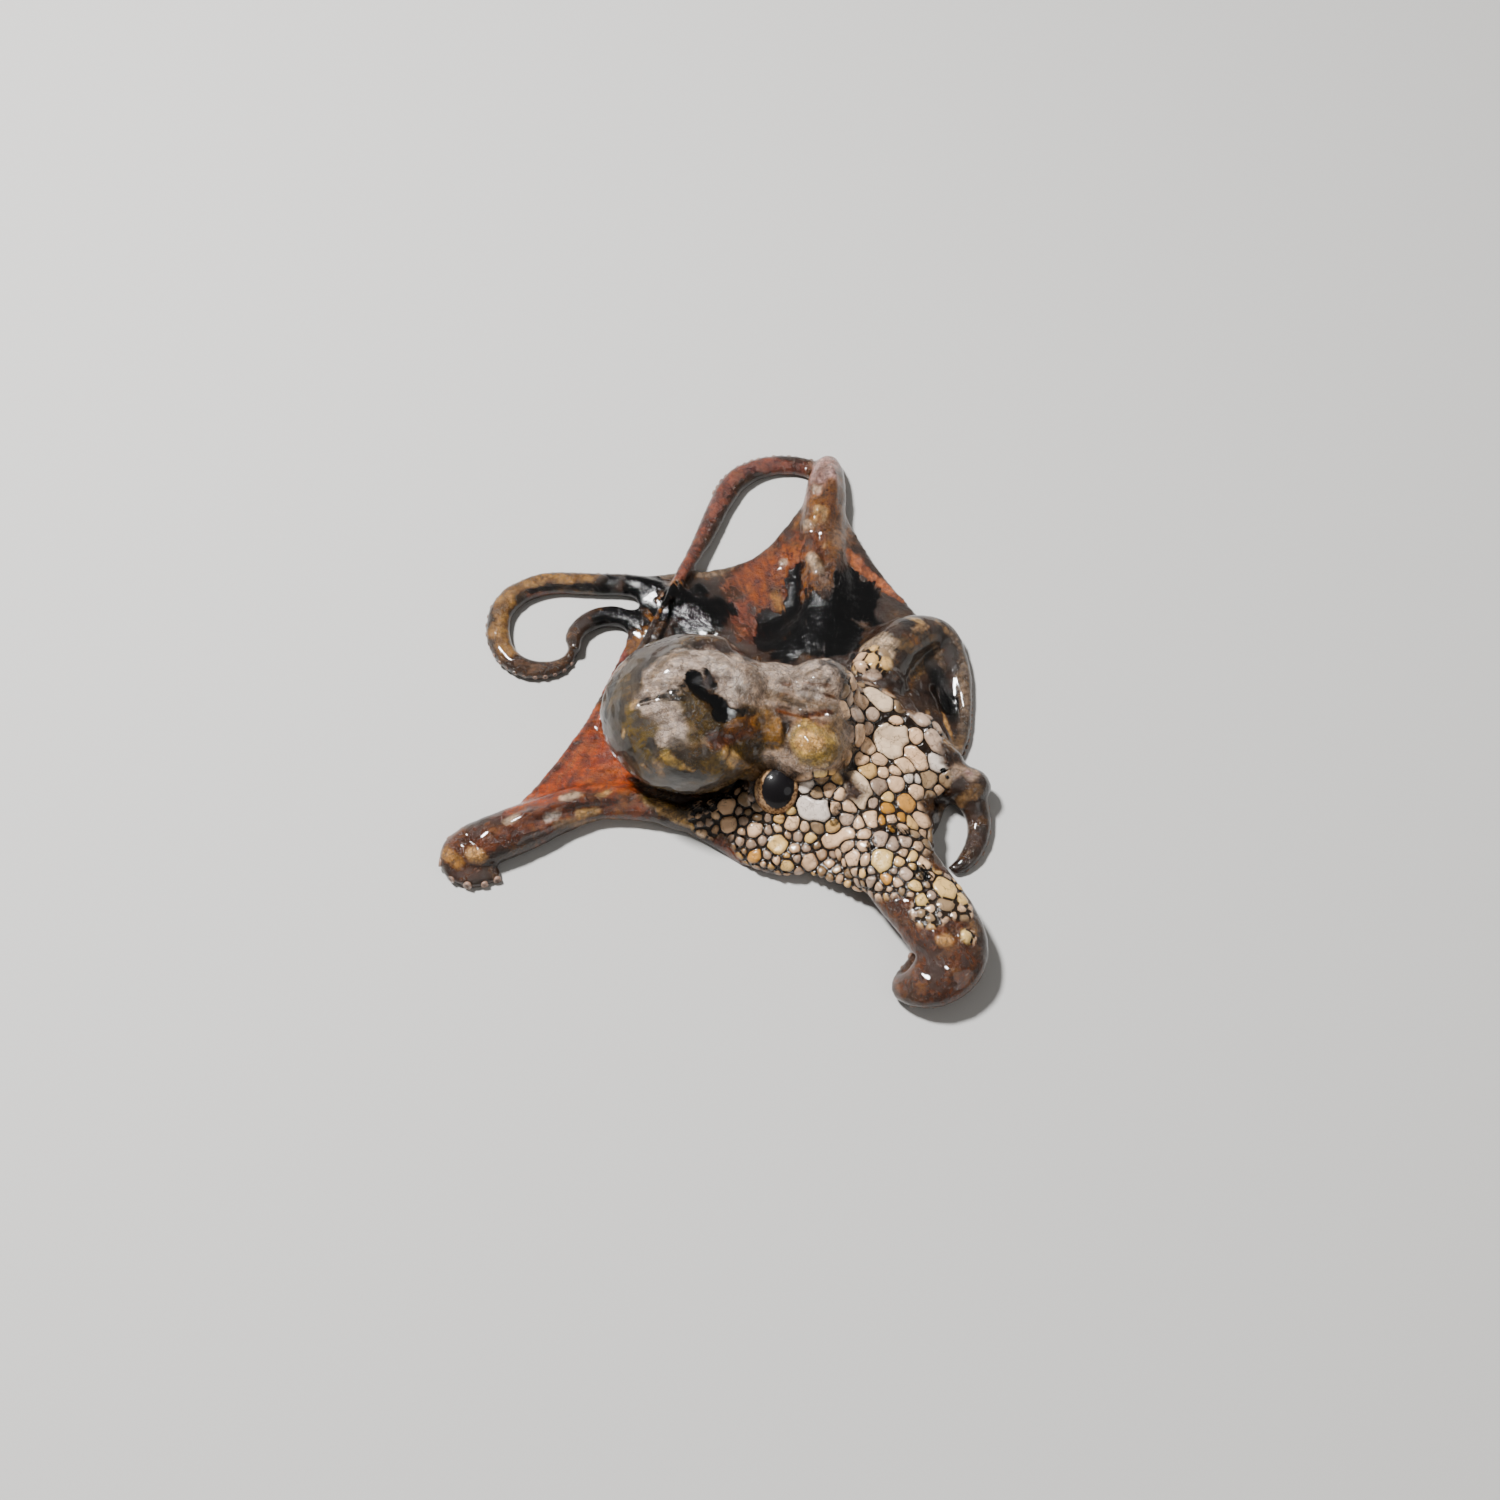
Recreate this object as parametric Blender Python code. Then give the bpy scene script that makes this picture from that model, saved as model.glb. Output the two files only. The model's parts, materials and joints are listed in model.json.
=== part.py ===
"""A small octopus at rest with its arms spread, life size, as one still model.

Metres, +Z up. The animal lies on the plane z = 0 with its mouth down, its mantle towards -X
and its head towards +X. Lengths below are in millimetres until make_mesh turns them into metres.
"""

import math

import bmesh
import bpy
import numpy as np
from mathutils import Matrix, Vector

MM = 0.001
GAP = 0.3  # clear space left between neighbouring pieces
FLOOR = 0.0

# Mantle: a soft bag, blunt behind and narrower at the neck.
MANTLE_CENTRE = Vector((-13.0, -1.0, 17.2))
MANTLE_HALF = Vector((20.4, 18.8, 14.6))
MANTLE_TURN = math.radians(-6)
NECK_TAPER = 0.20
BELLY_FLATTEN = 0.88

# Head: a core with a mound over each eye.
HEAD_CORE = (Vector((12.0, -2.5, 11.5)), Vector((13.5, 13.5, 11.0)))
RIGHT_BROW = (Vector((13.6, -8.4, 15.0)), Vector((8.6, 8.4, 8.4)))
LEFT_BROW = (Vector((16.5, 5.0, 17.8)), Vector((8.4, 8.0, 8.2)))

# Eyes: a globe, the way it looks, and the flesh round it.
EYE_RADIUS = 6.2
LID_DEPTH = 1.3
EYES = {
    "eye_right": (Vector((6.2, -13.9, 7.7)), Vector((-0.10, -0.55, 0.83))),
    "eye_left": (Vector((12.0, 6.4, 9.8)), Vector((-0.10, 0.95, 0.30))),
}
EYE_STANDS_OUT = 0.3

# Crown: the low dome from which the arms grow, over the mouth.
CROWN_CENTRE = Vector((22.0, -10.0, 0.0))
CROWN_HALF = Vector((24.0, 20.0, 13.4))
CROWN_SLOPE = (Vector((4.5, -16.5, 0.0)), Vector((14.5, 14.0, 8.8)))  # its slope under the right eye
CROWN_UNDERSIDE = 0.8

# Funnel: a short pipe under the far side of the head.
FUNNEL_ROOT = Vector((3.0, 12.0, 7.4))
FUNNEL_END = Vector((-4.5, 23.0, 6.4))
FUNNEL_RADII = (3.6, 2.4)
FUNNEL_BORE = 1.3
FUNNEL_BORE_DEPTH = 5.0
FUNNEL_BORE_PAST = 2.0  # how far the bore is cut past the mouth

# Segments and rings of the rounded bodies.
MANTLE_DETAIL = (18, 12)
CORE_DETAIL = (12, 8)
LUMP_DETAIL = (11, 7)
EYE_DETAIL = (12, 8)
CROWN_DETAIL = (14, 8)
MERGE = 0.0001  # corners nearer than this are one corner

CURVE_SAMPLES = 24  # places worked out between two points of a route
SHARP_ANGLE = math.radians(60)
ARM_SIDES = 8
RING_STEP = 4.4
ARM_PARTS = ("root", "middle", "tip")
REST_SINK = 0.69  # how much of its half height an arm's middle keeps over the floor


class Arm:
    """An arm's middle line, as (x, y, lift off the floor, half width), and how flat it is."""

    def __init__(self, flat, joints, *route):
        self.flat = flat
        self.joints = joints  # where the arm is parted, as shares of its length
        self.route = route


ARMS = {
    "left1": Arm(
        0.85, (0.42, 0.74),
        (26, 4, 3, 6.6), (28.6, 16, 4.6, 6.6), (35.6, 25.4, 3.4, 5.4), (43.4, 28.6, 1.0, 3.8),
        (47.2, 22.6, 0.1, 2.8), (48.0, 12.5, 0, 2.5), (47.2, 2, 0, 2.1), (44.6, -5.4, 0, 1.3),
    ),
    "left2": Arm(
        0.72, (0.395, 0.6),
        (19, 6, 3.0, 6.4), (18.6, 20, 1.2, 6.4), (18, 34, 0.8, 6.2), (17.4, 48, 0.9, 5.6),
        (17.2, 60, 0.5, 5.0), (17.9, 69, 0.3, 4.2), (17.6, 75.0, 0.1, 3.2), (13.6, 78.0, 0, 2.5),
        (7.7, 78.8, 0, 2.6), (2.5, 77.8, 0, 2.8), (-2.5, 74.7, 0, 3.0), (-6, 69.6, 0, 3.0),
        (-10.4, 58.3, 0.8, 2.4), (-13.1, 51.1, 2.2, 2.0), (-16.3, 43.2, 4.0, 1.8),
        (-20.6, 33, 5.6, 1.6), (-24.1, 23.7, 6.4, 1.4), (-28.4, 16.8, 5.4, 1.2),
        (-31.3, 11.1, 4.2, 1.0), (-34, 5, 3.0, 0.8),
    ),
    "left3": Arm(
        0.8, (0.4, 0.7),
        (12, 8, 2.5, 5.0), (-2.5, 26, 0.6, 3.8), (-13.5, 37.2, 0.2, 3.2), (-25.5, 42.8, 0.1, 2.9),
        (-37.3, 43.9, 0, 2.8), (-47, 44, 0, 2.8), (-53.6, 41.4, 0, 2.9), (-57.4, 36.8, 0, 2.9),
        (-58.2, 30.6, 0, 2.8), (-56.2, 24.6, 0, 2.6), (-51.4, 20.8, 0, 2.4), (-46.2, 20.6, 0, 2.1),
        (-42.4, 22.6, 0, 1.7), (-40.6, 26.4, 0, 1.1),
    ),
    "left4": Arm(
        0.8, (0.45, 0.75),
        (7, 4, 1.5, 4.4), (-11, 18.5, 0, 2.8), (-21.6, 29.6, 0, 2.6), (-28.6, 34.2, 0, 2.7),
        (-34.4, 34.6, 0.2, 2.6), (-38.4, 32.2, 0.6, 2.4), (-40.6, 28.6, 1.2, 2.0),
        (-40.0, 24.6, 2.0, 1.5),
    ),
    "right1": Arm(
        0.85, (0.45, 0.72),
        (19, 3, 8, 6.6), (28.6, 2.4, 6.2, 6.4), (36.2, -1.4, 5.0, 5.8), (42.4, -8.0, 3.6, 4.9),
        (47.6, -13.0, 1.8, 3.9), (50.2, -18.4, 0.1, 2.9), (49.4, -24.6, 0, 2.5), (46.8, -28.8, 0, 2.0),
        (43.8, -31.0, 0, 1.3),
    ),
    "right2": Arm(
        0.56, (0.36, 0.73),
        (22, -14, 3.6, 8.6), (27.6, -27, 3.4, 9.2), (34.8, -38.0, 3.2, 8.8), (40.4, -46.6, 3.0, 8.6),
        (42.2, -53.4, 2.8, 8.0), (39.4, -58.0, 2.6, 6.6), (35.4, -59.6, 1.8, 4.8),
        (32.6, -58.4, 0.6, 3.0), (34.6, -54.0, 0, 2.4), (37.4, -48.0, 0, 2.0), (35.2, -40, 0, 1.6),
        (31, -33.6, 0, 1.1),
    ),
    "right3": Arm(
        0.85, (0.42, 0.72),
        (17, -16, 1.8, 5.4), (13.4, -26.2, 0.6, 4.4), (5.6, -29.0, 0.3, 3.4), (-4, -24.6, 0, 2.6),
        (-12, -21.0, 0, 2.0), (-18.6, -19.2, 0, 1.4),
    ),
    "right4": Arm(
        0.74, (0.4, 0.7),
        (13, -9.5, 2.0, 5.2), (-2.4, -16.0, 1.0, 4.8), (-13.2, -17.2, 0.6, 4.4), (-22, -15.6, 0.6, 4.2),
        (-33, -14.8, 0.6, 4.3), (-41, -17.0, 0.3, 4.9), (-48, -20.4, 0, 5.5), (-54.5, -23.6, 0, 5.7),
        (-60, -25.8, 0, 5.3), (-63.6, -27.4, 0, 4.2), (-64.0, -30.8, 0, 2.7), (-59.6, -32.8, 0, 2.2),
        (-54.4, -31.4, 0, 1.5),
    ),
}

# Suckers that show along the edge of an arm: part of the arm, its first and last places as shares
# of the whole arm, how many there are, and the side they look to, looking out along the arm
# (1 right, -1 left).
SUCKERS = {
    "left1": ((0.62, 0.94), 6, -1),
    "left2": ((0.46, 0.80), 10, 1),
    "left3": ((0.52, 0.96), 11, 1),
    "right1": ((0.55, 0.94), 5, -1),
    "right4": ((0.66, 0.96), 8, 1),
}
SUCKER_SIDES = 5
SUCKER_WIDE = 0.42  # half width of a sucker, as a share of the arm's half width there
SUCKER_OUT = 0.30  # how far its rim stands out of the arm, as the same share
SUCKER_HIGH = 0.75  # its height on the arm, as a share of the middle line's height
SUCKER_FOOT = 0.8  # its foot's half width, as a share of its rim's

# Webs, from arm to arm round the mouth: how far out along each arm, the dip of the free edge
# towards the mouth and the sag of the sheet between the two arms.
WEBS = {
    "web_left1_left2": ("left1", 0.46, "left2", 0.42, 0.08, 1.5),
    "web_left2_left3": ("left2", 0.42, "left3", 0.50, 0.24, 1.2),
    "web_left3_left4": ("left3", 0.48, "left4", 0.70, 0.06, -0.4),
    "web_left4_right4": ("left4", 0.70, "right4", 0.80, 0.10, 0.6),
    "web_right4_right3": ("right4", 0.50, "right3", 0.98, 0.04, -3.0),
    "web_right3_right2": ("right3", 0.92, "right2", 0.42, 0.05, 1.0),
    "web_right2_right1": ("right2", 0.46, "right1", 0.50, 0.12, 0.6),
    "web_right1_left1": ("right1", 0.60, "left1", 0.90, 0.10, 1.0),
}
WEB_ALONG = 6
WEB_ACROSS = 5
WEB_THICK = (2.2, 1.1)  # at the crown and at the free edge
WEB_CLEARANCE = 0.3  # under the thinnest web

FLESH = {
    "mantle": ((0.16, 0.12, 0.07), 0.30),
    "head": ((0.30, 0.25, 0.17), 0.30),
    "crown": ((0.36, 0.32, 0.26), 0.32),
    "funnel": ((0.34, 0.28, 0.22), 0.32),
    "web": ((0.16, 0.06, 0.03), 0.25),
    "arm": ((0.22, 0.14, 0.08), 0.30),
    "eye": ((0.03, 0.025, 0.02), 0.08),
}


def clear_scene():
    for obj in list(bpy.data.objects):
        bpy.data.objects.remove(obj)


def make_material(name):
    colour, roughness = FLESH[name]
    material = bpy.data.materials.new(name)
    material.use_nodes = True
    shader = material.node_tree.nodes["Principled BSDF"]
    shader.inputs["Base Color"].default_value = (*colour, 1)
    shader.inputs["Roughness"].default_value = roughness
    shader.inputs["Metallic"].default_value = 0.0
    return material


def make_object(name, bm):
    """An object from a bmesh in millimetres."""
    bmesh.ops.scale(bm, vec=(MM, MM, MM), verts=bm.verts)
    bmesh.ops.triangulate(bm, faces=bm.faces)
    bmesh.ops.recalc_face_normals(bm, faces=bm.faces)
    mesh = bpy.data.meshes.new(name)
    bm.to_mesh(mesh)
    bm.free()
    obj = bpy.data.objects.new(name, mesh)
    bpy.context.scene.collection.objects.link(obj)
    return obj


def ball(centre, half, segments, rings):
    """An ellipsoid as a bmesh."""
    bm = bmesh.new()
    bmesh.ops.create_uvsphere(bm, u_segments=segments, v_segments=rings, radius=1.0)
    bmesh.ops.scale(bm, vec=half, verts=bm.verts)
    bmesh.ops.translate(bm, vec=centre, verts=bm.verts)
    return bm


def grown(half, by):
    return half + Vector((by, by, by))


def mantle(name, grow=0.0):
    bm = bmesh.new()
    segments, rings = MANTLE_DETAIL
    bmesh.ops.create_uvsphere(bm, u_segments=segments, v_segments=rings, radius=1.0)
    half = grown(MANTLE_HALF, grow)
    for vert in bm.verts:
        forward = max(0.0, vert.co.x)
        narrow = 1 - NECK_TAPER * forward**2
        belly = BELLY_FLATTEN if vert.co.z < 0 else 1.0
        vert.co = Vector(
            (vert.co.x * half.x, vert.co.y * half.y * narrow, vert.co.z * half.z * narrow * belly)
        )
    bmesh.ops.rotate(bm, matrix=Matrix.Rotation(MANTLE_TURN, 3, "Z"), verts=bm.verts)
    bmesh.ops.translate(bm, vec=MANTLE_CENTRE, verts=bm.verts)
    return make_object(name, bm)


def head(name, grow=0.0):
    """The core, the two brows and the flesh round each eye, joined into one body."""
    body = make_object(name, ball(HEAD_CORE[0], grown(HEAD_CORE[1], grow), *CORE_DETAIL))
    lumps = [RIGHT_BROW, LEFT_BROW]
    for centre, _look in EYES.values():
        size = EYE_RADIUS + LID_DEPTH
        lumps.append((centre, Vector((size, size, size))))
    joined = []
    for centre, half in lumps:
        joined.append(make_object(name + "_lump", ball(centre, grown(half, grow), *LUMP_DETAIL)))
    settle(body, joined, "UNION")
    drop(joined)
    return body


def eye(name, grow=0.0):
    centre, look = EYES[name]
    middle = centre + look.normalized() * (LID_DEPTH + EYE_STANDS_OUT)
    size = EYE_RADIUS + grow
    return make_object(name, ball(middle, Vector((size, size, size)), *EYE_DETAIL))


def dome(name, centre, half, grow, detail):
    """A ball cut off level a little over the floor."""
    bm = ball(centre, grown(half, grow), *detail)
    for vert in bm.verts:
        vert.co.z = max(vert.co.z, CROWN_UNDERSIDE - grow)
    bmesh.ops.remove_doubles(bm, verts=bm.verts, dist=MERGE)
    return make_object(name, bm)


def crown(name, grow=0.0):
    body = dome(name, CROWN_CENTRE, CROWN_HALF, grow, CROWN_DETAIL)
    slope = dome(name + "_slope", *CROWN_SLOPE, grow, LUMP_DETAIL)
    settle(body, [slope], "UNION")
    drop([slope])
    return body


def curve_through(points, spacing):
    """Points evenly spaced along a smooth curve through the given ones, with their widths."""
    pts = np.array(points, float)
    pts = np.vstack([2 * pts[0] - pts[1], pts, 2 * pts[-1] - pts[-2]])
    fine = []
    for a, b, c, d in zip(pts, pts[1:], pts[2:], pts[3:]):
        for t in np.linspace(0, 1, CURVE_SAMPLES, endpoint=False):
            fine.append(
                0.5 * (2 * b + (c - a) * t + (2 * a - 5 * b + 4 * c - d) * t**2
                       + (3 * b - a - 3 * c + d) * t**3)
            )
    fine.append(pts[-2])
    fine = np.array(fine)
    along = np.concatenate([[0], np.cumsum(np.linalg.norm(np.diff(fine[:, :3], axis=0), axis=1))])
    count = max(3, int(round(along[-1] / spacing)) + 1)
    marks = np.linspace(0, along[-1], count)
    return np.column_stack([np.interp(marks, along, fine[:, k]) for k in range(fine.shape[1])])


def middle_line(arm, spacing=1.0):
    """The arm's middle line as rows of x, y, z and half width."""
    rows = []
    for x, y, lift, wide in arm.route:
        rows.append((x, y, lift + REST_SINK * arm.flat * wide, wide))
    return with_direction(curve_through(rows, spacing))


def with_direction(line):
    """Adds to each row of a middle line the way the line runs there."""
    ahead = np.gradient(line[:, :3], axis=0)
    return np.column_stack([line, ahead / np.linalg.norm(ahead, axis=1, keepdims=True)])


def tube(name, line, flat, grow=0.0, sides=ARM_SIDES):
    """A closed tube round a middle line, wider than it is high, flattened where it meets the floor."""
    bm = bmesh.new()
    rings = []
    centres = [Vector(row[:3]) for row in line]
    for i, row in enumerate(line):
        ahead = Vector(row[4:7]).normalized()
        side = ahead.cross(Vector((0, 0, 1))).normalized()
        up = side.cross(ahead)
        wide, high = row[3] + grow, row[3] * flat + grow
        ring = []
        for k in range(sides):
            angle = 2 * math.pi * k / sides
            point = centres[i] + side * math.cos(angle) * wide + up * math.sin(angle) * high
            point.z = max(point.z, FLOOR - grow)
            ring.append(bm.verts.new(point))
        rings.append(ring)
    for first, second in zip(rings, rings[1:]):
        for k in range(sides):
            after = (k + 1) % sides
            bm.faces.new((first[k], first[after], second[after], second[k]))
    bm.faces.new(rings[0])
    bm.faces.new(reversed(rings[-1]))
    return make_object(name, bm)


def suckers(arm_name, start, end, grow):
    """The suckers between two shares of an arm as one object, or None."""
    span, count, side = SUCKERS.get(arm_name, ((0, 0), 0, 1))
    arm = ARMS[arm_name]
    line = middle_line(arm)
    bm = bmesh.new()
    for share in np.linspace(*span, count) if count else ():
        row = line[int(round(share * (len(line) - 1)))]
        radius = SUCKER_WIDE * row[3] + grow
        margin = radius / len(line)
        if not start + margin < share < end - margin:
            continue
        out = Vector(row[4:7]).cross(Vector((0, 0, 1))).normalized() * side
        middle = Vector((row[0], row[1], max(row[2] * SUCKER_HIGH, radius)))
        reach = row[3] * (1 + SUCKER_OUT) + grow
        turn = out.to_track_quat("Z", "Y").to_matrix().to_4x4()
        matrix = Matrix.Translation(middle + out * reach / 2) @ turn
        bmesh.ops.create_cone(
            bm, cap_ends=True, segments=SUCKER_SIDES, radius1=radius * SUCKER_FOOT, radius2=radius,
            depth=reach, matrix=matrix,
        )
    if not bm.verts:
        bm.free()
        return None
    return make_object("suckers", bm)


def part_of(line, start, end):
    """The stretch of a middle line between two shares of its length, resampled."""
    last = len(line) - 1
    places = np.linspace(start * last, end * last, max(3, int((end - start) * last / RING_STEP) + 2))
    return np.column_stack([np.interp(places, np.arange(len(line)), column) for column in line.T])


def combined(obj, other, operation, solver):
    """The result of one Boolean as a bmesh, and whether it is whole."""
    modifier = obj.modifiers.new(operation.lower(), "BOOLEAN")
    modifier.operation = operation
    modifier.object = other
    modifier.solver = solver
    bpy.context.view_layer.update()
    bm = bmesh.new()
    bm.from_mesh(obj.evaluated_get(bpy.context.evaluated_depsgraph_get()).to_mesh())
    obj.modifiers.clear()
    return bm, bool(bm.faces) and all(edge.is_manifold for edge in bm.edges)


def settle(obj, others, operation="DIFFERENCE"):
    """Joins or cuts with each of the others in turn and keeps the largest body."""
    for other in others:
        bm, whole = combined(obj, other, operation, "EXACT")
        if not whole:
            bm.free()
            bm, whole = combined(obj, other, operation, "MANIFOLD")
        bmesh.ops.triangulate(bm, faces=bm.faces)
        bm.to_mesh(obj.data)
        bm.free()
    bm = bmesh.new()
    bm.from_mesh(obj.data)
    keep_largest(bm)
    bm.to_mesh(obj.data)
    bm.free()


def drop(objects):
    for obj in objects:
        bpy.data.objects.remove(obj)


def body_area(verts):
    return sum(face.calc_area() / len(face.verts) for vert in verts for face in vert.link_faces)


def keep_largest(bm):
    left = set(bm.verts)
    bodies = []
    while left:
        body, front = set(), [left.pop()]
        while front:
            vert = front.pop()
            body.add(vert)
            for edge in vert.link_edges:
                other = edge.other_vert(vert)
                if other in left:
                    left.discard(other)
                    front.append(other)
        bodies.append(body)
    bodies.sort(key=body_area, reverse=True)
    for body in bodies[1:]:
        bmesh.ops.delete(bm, geom=list(body), context="VERTS")


def web(name, grow=0.0):
    """A sheet between two neighbouring arms, thinner towards its free edge."""
    first, reach_first, second, reach_second, dip, sag = WEBS[name]
    lines = [middle_line(ARMS[first]), middle_line(ARMS[second])]
    reaches = (reach_first, reach_second)
    bm = bmesh.new()
    top, under = [], []
    for i in range(WEB_ALONG + 1):
        out = i / WEB_ALONG
        top_row, under_row = [], []
        for j in range(WEB_ACROSS + 1):
            across = j / WEB_ACROSS
            hollow = 4 * across * (1 - across)
            ends = []
            for line, reach in zip(lines, reaches):
                place = out * reach * (1 - dip * hollow) * (len(line) - 1)
                ends.append([np.interp(place, np.arange(len(line)), line[:, k]) for k in range(3)])
            point = Vector(ends[0]).lerp(Vector(ends[1]), across)
            half = (WEB_THICK[0] + (WEB_THICK[1] - WEB_THICK[0]) * out) / 2
            height = max(point.z - sag * hollow, WEB_CLEARANCE + half)
            top_row.append(bm.verts.new((point.x, point.y, height + half + grow)))
            under_row.append(bm.verts.new((point.x, point.y, height - half - grow)))
        top.append(top_row)
        under.append(under_row)
    for i in range(WEB_ALONG):
        for j in range(WEB_ACROSS):
            bm.faces.new((top[i][j], top[i + 1][j], top[i + 1][j + 1], top[i][j + 1]))
            bm.faces.new((under[i][j], under[i][j + 1], under[i + 1][j + 1], under[i + 1][j]))
        for j in (0, WEB_ACROSS):
            bm.faces.new((top[i][j], under[i][j], under[i + 1][j], top[i + 1][j]))
    for j in range(WEB_ACROSS):
        for i in (0, WEB_ALONG):
            bm.faces.new((top[i][j], top[i][j + 1], under[i][j + 1], under[i][j]))
    return make_object(name, bm)


def funnel(name, grow=0.0):
    ends = [(*FUNNEL_ROOT, FUNNEL_RADII[0]), (*FUNNEL_END, FUNNEL_RADII[1])]
    line = with_direction(np.array([ends[0], [(a + b) / 2 for a, b in zip(*ends)], ends[1]]))
    pipe = tube(name, line, 1.0, grow)
    if grow:
        return pipe
    ahead = (FUNNEL_END - FUNNEL_ROOT).normalized()
    inner, outer = FUNNEL_END - ahead * FUNNEL_BORE_DEPTH, FUNNEL_END + ahead * FUNNEL_BORE_PAST
    hole = np.array([(*inner, FUNNEL_BORE), (*FUNNEL_END, FUNNEL_BORE), (*outer, FUNNEL_BORE)])
    bore = tube("bore", with_direction(hole), 1.0)
    settle(pipe, [bore])
    drop([bore])
    return pipe


def finish(obj, material):
    obj.data.materials.clear()
    obj.data.materials.append(material)
    obj.data.shade_smooth()
    obj.data.set_sharp_from_angle(angle=SHARP_ANGLE)


def centre_on_origin(nodes):
    """Puts the middle of the footprint on the Z axis."""
    corners = [vert.co for obj in nodes for vert in obj.data.vertices]
    middle = Vector(
        [(min(c[k] for c in corners) + max(c[k] for c in corners)) / 2 for k in range(2)] + [0]
    )
    for obj in nodes:
        obj.data.transform(Matrix.Translation(-middle))


def close_together(obj, other):
    """Whether the boxes round two objects overlap."""
    boxes = []
    for each in (obj, other):
        corners = np.array([vert.co for vert in each.data.vertices])
        boxes.append((corners.min(axis=0), corners.max(axis=0)))
    return bool(np.all(boxes[0][0] < boxes[1][1]) and np.all(boxes[1][0] < boxes[0][1]))


def arm_part(name, grow=0.0):
    """One length of an arm, parted from the next by the gap."""
    _arm, arm_name, label = name.split("_")
    arm = ARMS[arm_name]
    line = middle_line(arm)
    marks = [0, *arm.joints, 1]
    place = ARM_PARTS.index(label)
    start, end = marks[place : place + 2]
    share = GAP / 2 / len(line)
    start += share if start else 0
    end -= share if end < 1 else 0
    piece = tube(name, part_of(line, start, end), arm.flat, grow)
    cups = suckers(arm_name, start, end, grow)
    if cups:
        settle(piece, [cups], "UNION")
        drop([cups])
    return piece


def same_arm(name, other):
    return name.startswith("arm_") and name.rsplit("_", 1)[0] == other.rsplit("_", 1)[0]


def build():
    """Makes the pieces in turn, each cut back by the gap from the ones before it."""
    clear_scene()
    paint = {name: make_material(name) for name in FLESH}
    shapes = {name: (eye, "eye") for name in EYES}
    shapes.update(head=(head, "head"), mantle=(mantle, "mantle"), crown=(crown, "crown"))
    for arm_name in ARMS:
        for label in ARM_PARTS:
            shapes[f"arm_{arm_name}_{label}"] = (arm_part, "arm")
    shapes["funnel"] = (funnel, "funnel")
    shapes.update((name, (web, "web")) for name in WEBS)

    nodes, cutters = [], {}
    for name, (shape, kind) in shapes.items():
        obj = shape(name)
        near = [
            other for other_name, other in cutters.items()
            if close_together(obj, other) and not same_arm(name, other_name)
        ]
        if near:
            settle(obj, near)
        finish(obj, paint[kind])
        nodes.append(obj)
        cutters[name] = shape(name, GAP)
        cutters[name].name = "cutter_" + name
    drop(cutters.values())
    centre_on_origin(nodes)


build()
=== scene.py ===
import json
import math

import bpy
import numpy as np
from mathutils import Matrix, Vector
from mathutils.kdtree import KDTree

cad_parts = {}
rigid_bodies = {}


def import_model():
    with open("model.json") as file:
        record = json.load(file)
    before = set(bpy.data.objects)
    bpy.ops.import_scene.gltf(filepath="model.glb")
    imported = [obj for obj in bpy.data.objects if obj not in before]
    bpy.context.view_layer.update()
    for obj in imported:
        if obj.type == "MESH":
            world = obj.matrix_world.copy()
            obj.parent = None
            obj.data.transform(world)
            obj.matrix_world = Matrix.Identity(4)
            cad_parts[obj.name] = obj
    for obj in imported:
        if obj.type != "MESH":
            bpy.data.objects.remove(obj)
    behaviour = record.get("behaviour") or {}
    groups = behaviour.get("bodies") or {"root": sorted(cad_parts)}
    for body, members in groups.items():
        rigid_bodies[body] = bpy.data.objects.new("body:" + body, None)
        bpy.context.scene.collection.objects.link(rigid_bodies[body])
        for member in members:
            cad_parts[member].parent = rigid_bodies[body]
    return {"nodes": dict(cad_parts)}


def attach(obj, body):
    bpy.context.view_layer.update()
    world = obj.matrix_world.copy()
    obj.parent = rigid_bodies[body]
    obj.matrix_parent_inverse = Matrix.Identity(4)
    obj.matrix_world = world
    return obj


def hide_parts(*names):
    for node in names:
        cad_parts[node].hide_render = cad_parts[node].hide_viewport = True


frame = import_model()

# Lengths are in millimetres, measured from the point under the animal's neck, until metres()
# turns them into places in the frame.
MM = 0.001
MIDDLE = np.array((-5.92, 8.86, 0.0))
VOXEL = 0.64
UNDERSIDE_KEPT = 0.05
SEED = 11
DEEPEN = 1.28  # wet hide is darker than the dry colours below
VIVID = 1.24  # and richer
PLATE_LIGHT = 1.35  # the plates catch more light than the hide between them

PLATE_SPACING = 4.3  # between the plates beside the largest one
SPACING_FALL = 0.075  # less for each millimetre away from it
SPACING_LIMITS = (1.8, 4.0)
SEAM_HALF = 0.03  # half width of the seams by the largest plate
SEAM_GROWTH = 0.003  # more for each millimetre beyond SEAM_START
SEAM_START, SEAM_REACH = 8, 40  # where that starts, and how much farther out it goes on
PLATE_RISE, PLATE_SINK = 0.62, 0.15  # a plate's middle over its seam, and the seam's depth
PLATE_EDGE = 0.8  # how far in from its edge a plate is rounded
NEAREST_PLACES = 14  # how many places of plates are looked at round each vertex
SNAP_REACH = 0.2  # vertices this near to a seam are drawn onto it
CORNER = 6.0  # how square the plates' corners are, per millimetre
PLATE_SPREAD = 0.85  # how far a plate reaches past its own size where nothing stops it
# balls that hold the finely modelled hide: centre and radius
FINE_HIDE = (
    ((12, -3, 22), 14), ((33, -7, 10), 14), ((6, -20, 6), 13), ((22, -25, 8), 15), ((34, -32, 8), 12),
)

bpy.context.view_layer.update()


def metres(points):
    """Millimetres from the neck to metres in the frame."""
    return (np.asarray(points, float) - MIDDLE) * MM


def millimetres(points):
    return np.asarray(points, float) / MM + MIDDLE


# ---------------------------------------------------------------- the body's lumps

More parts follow.
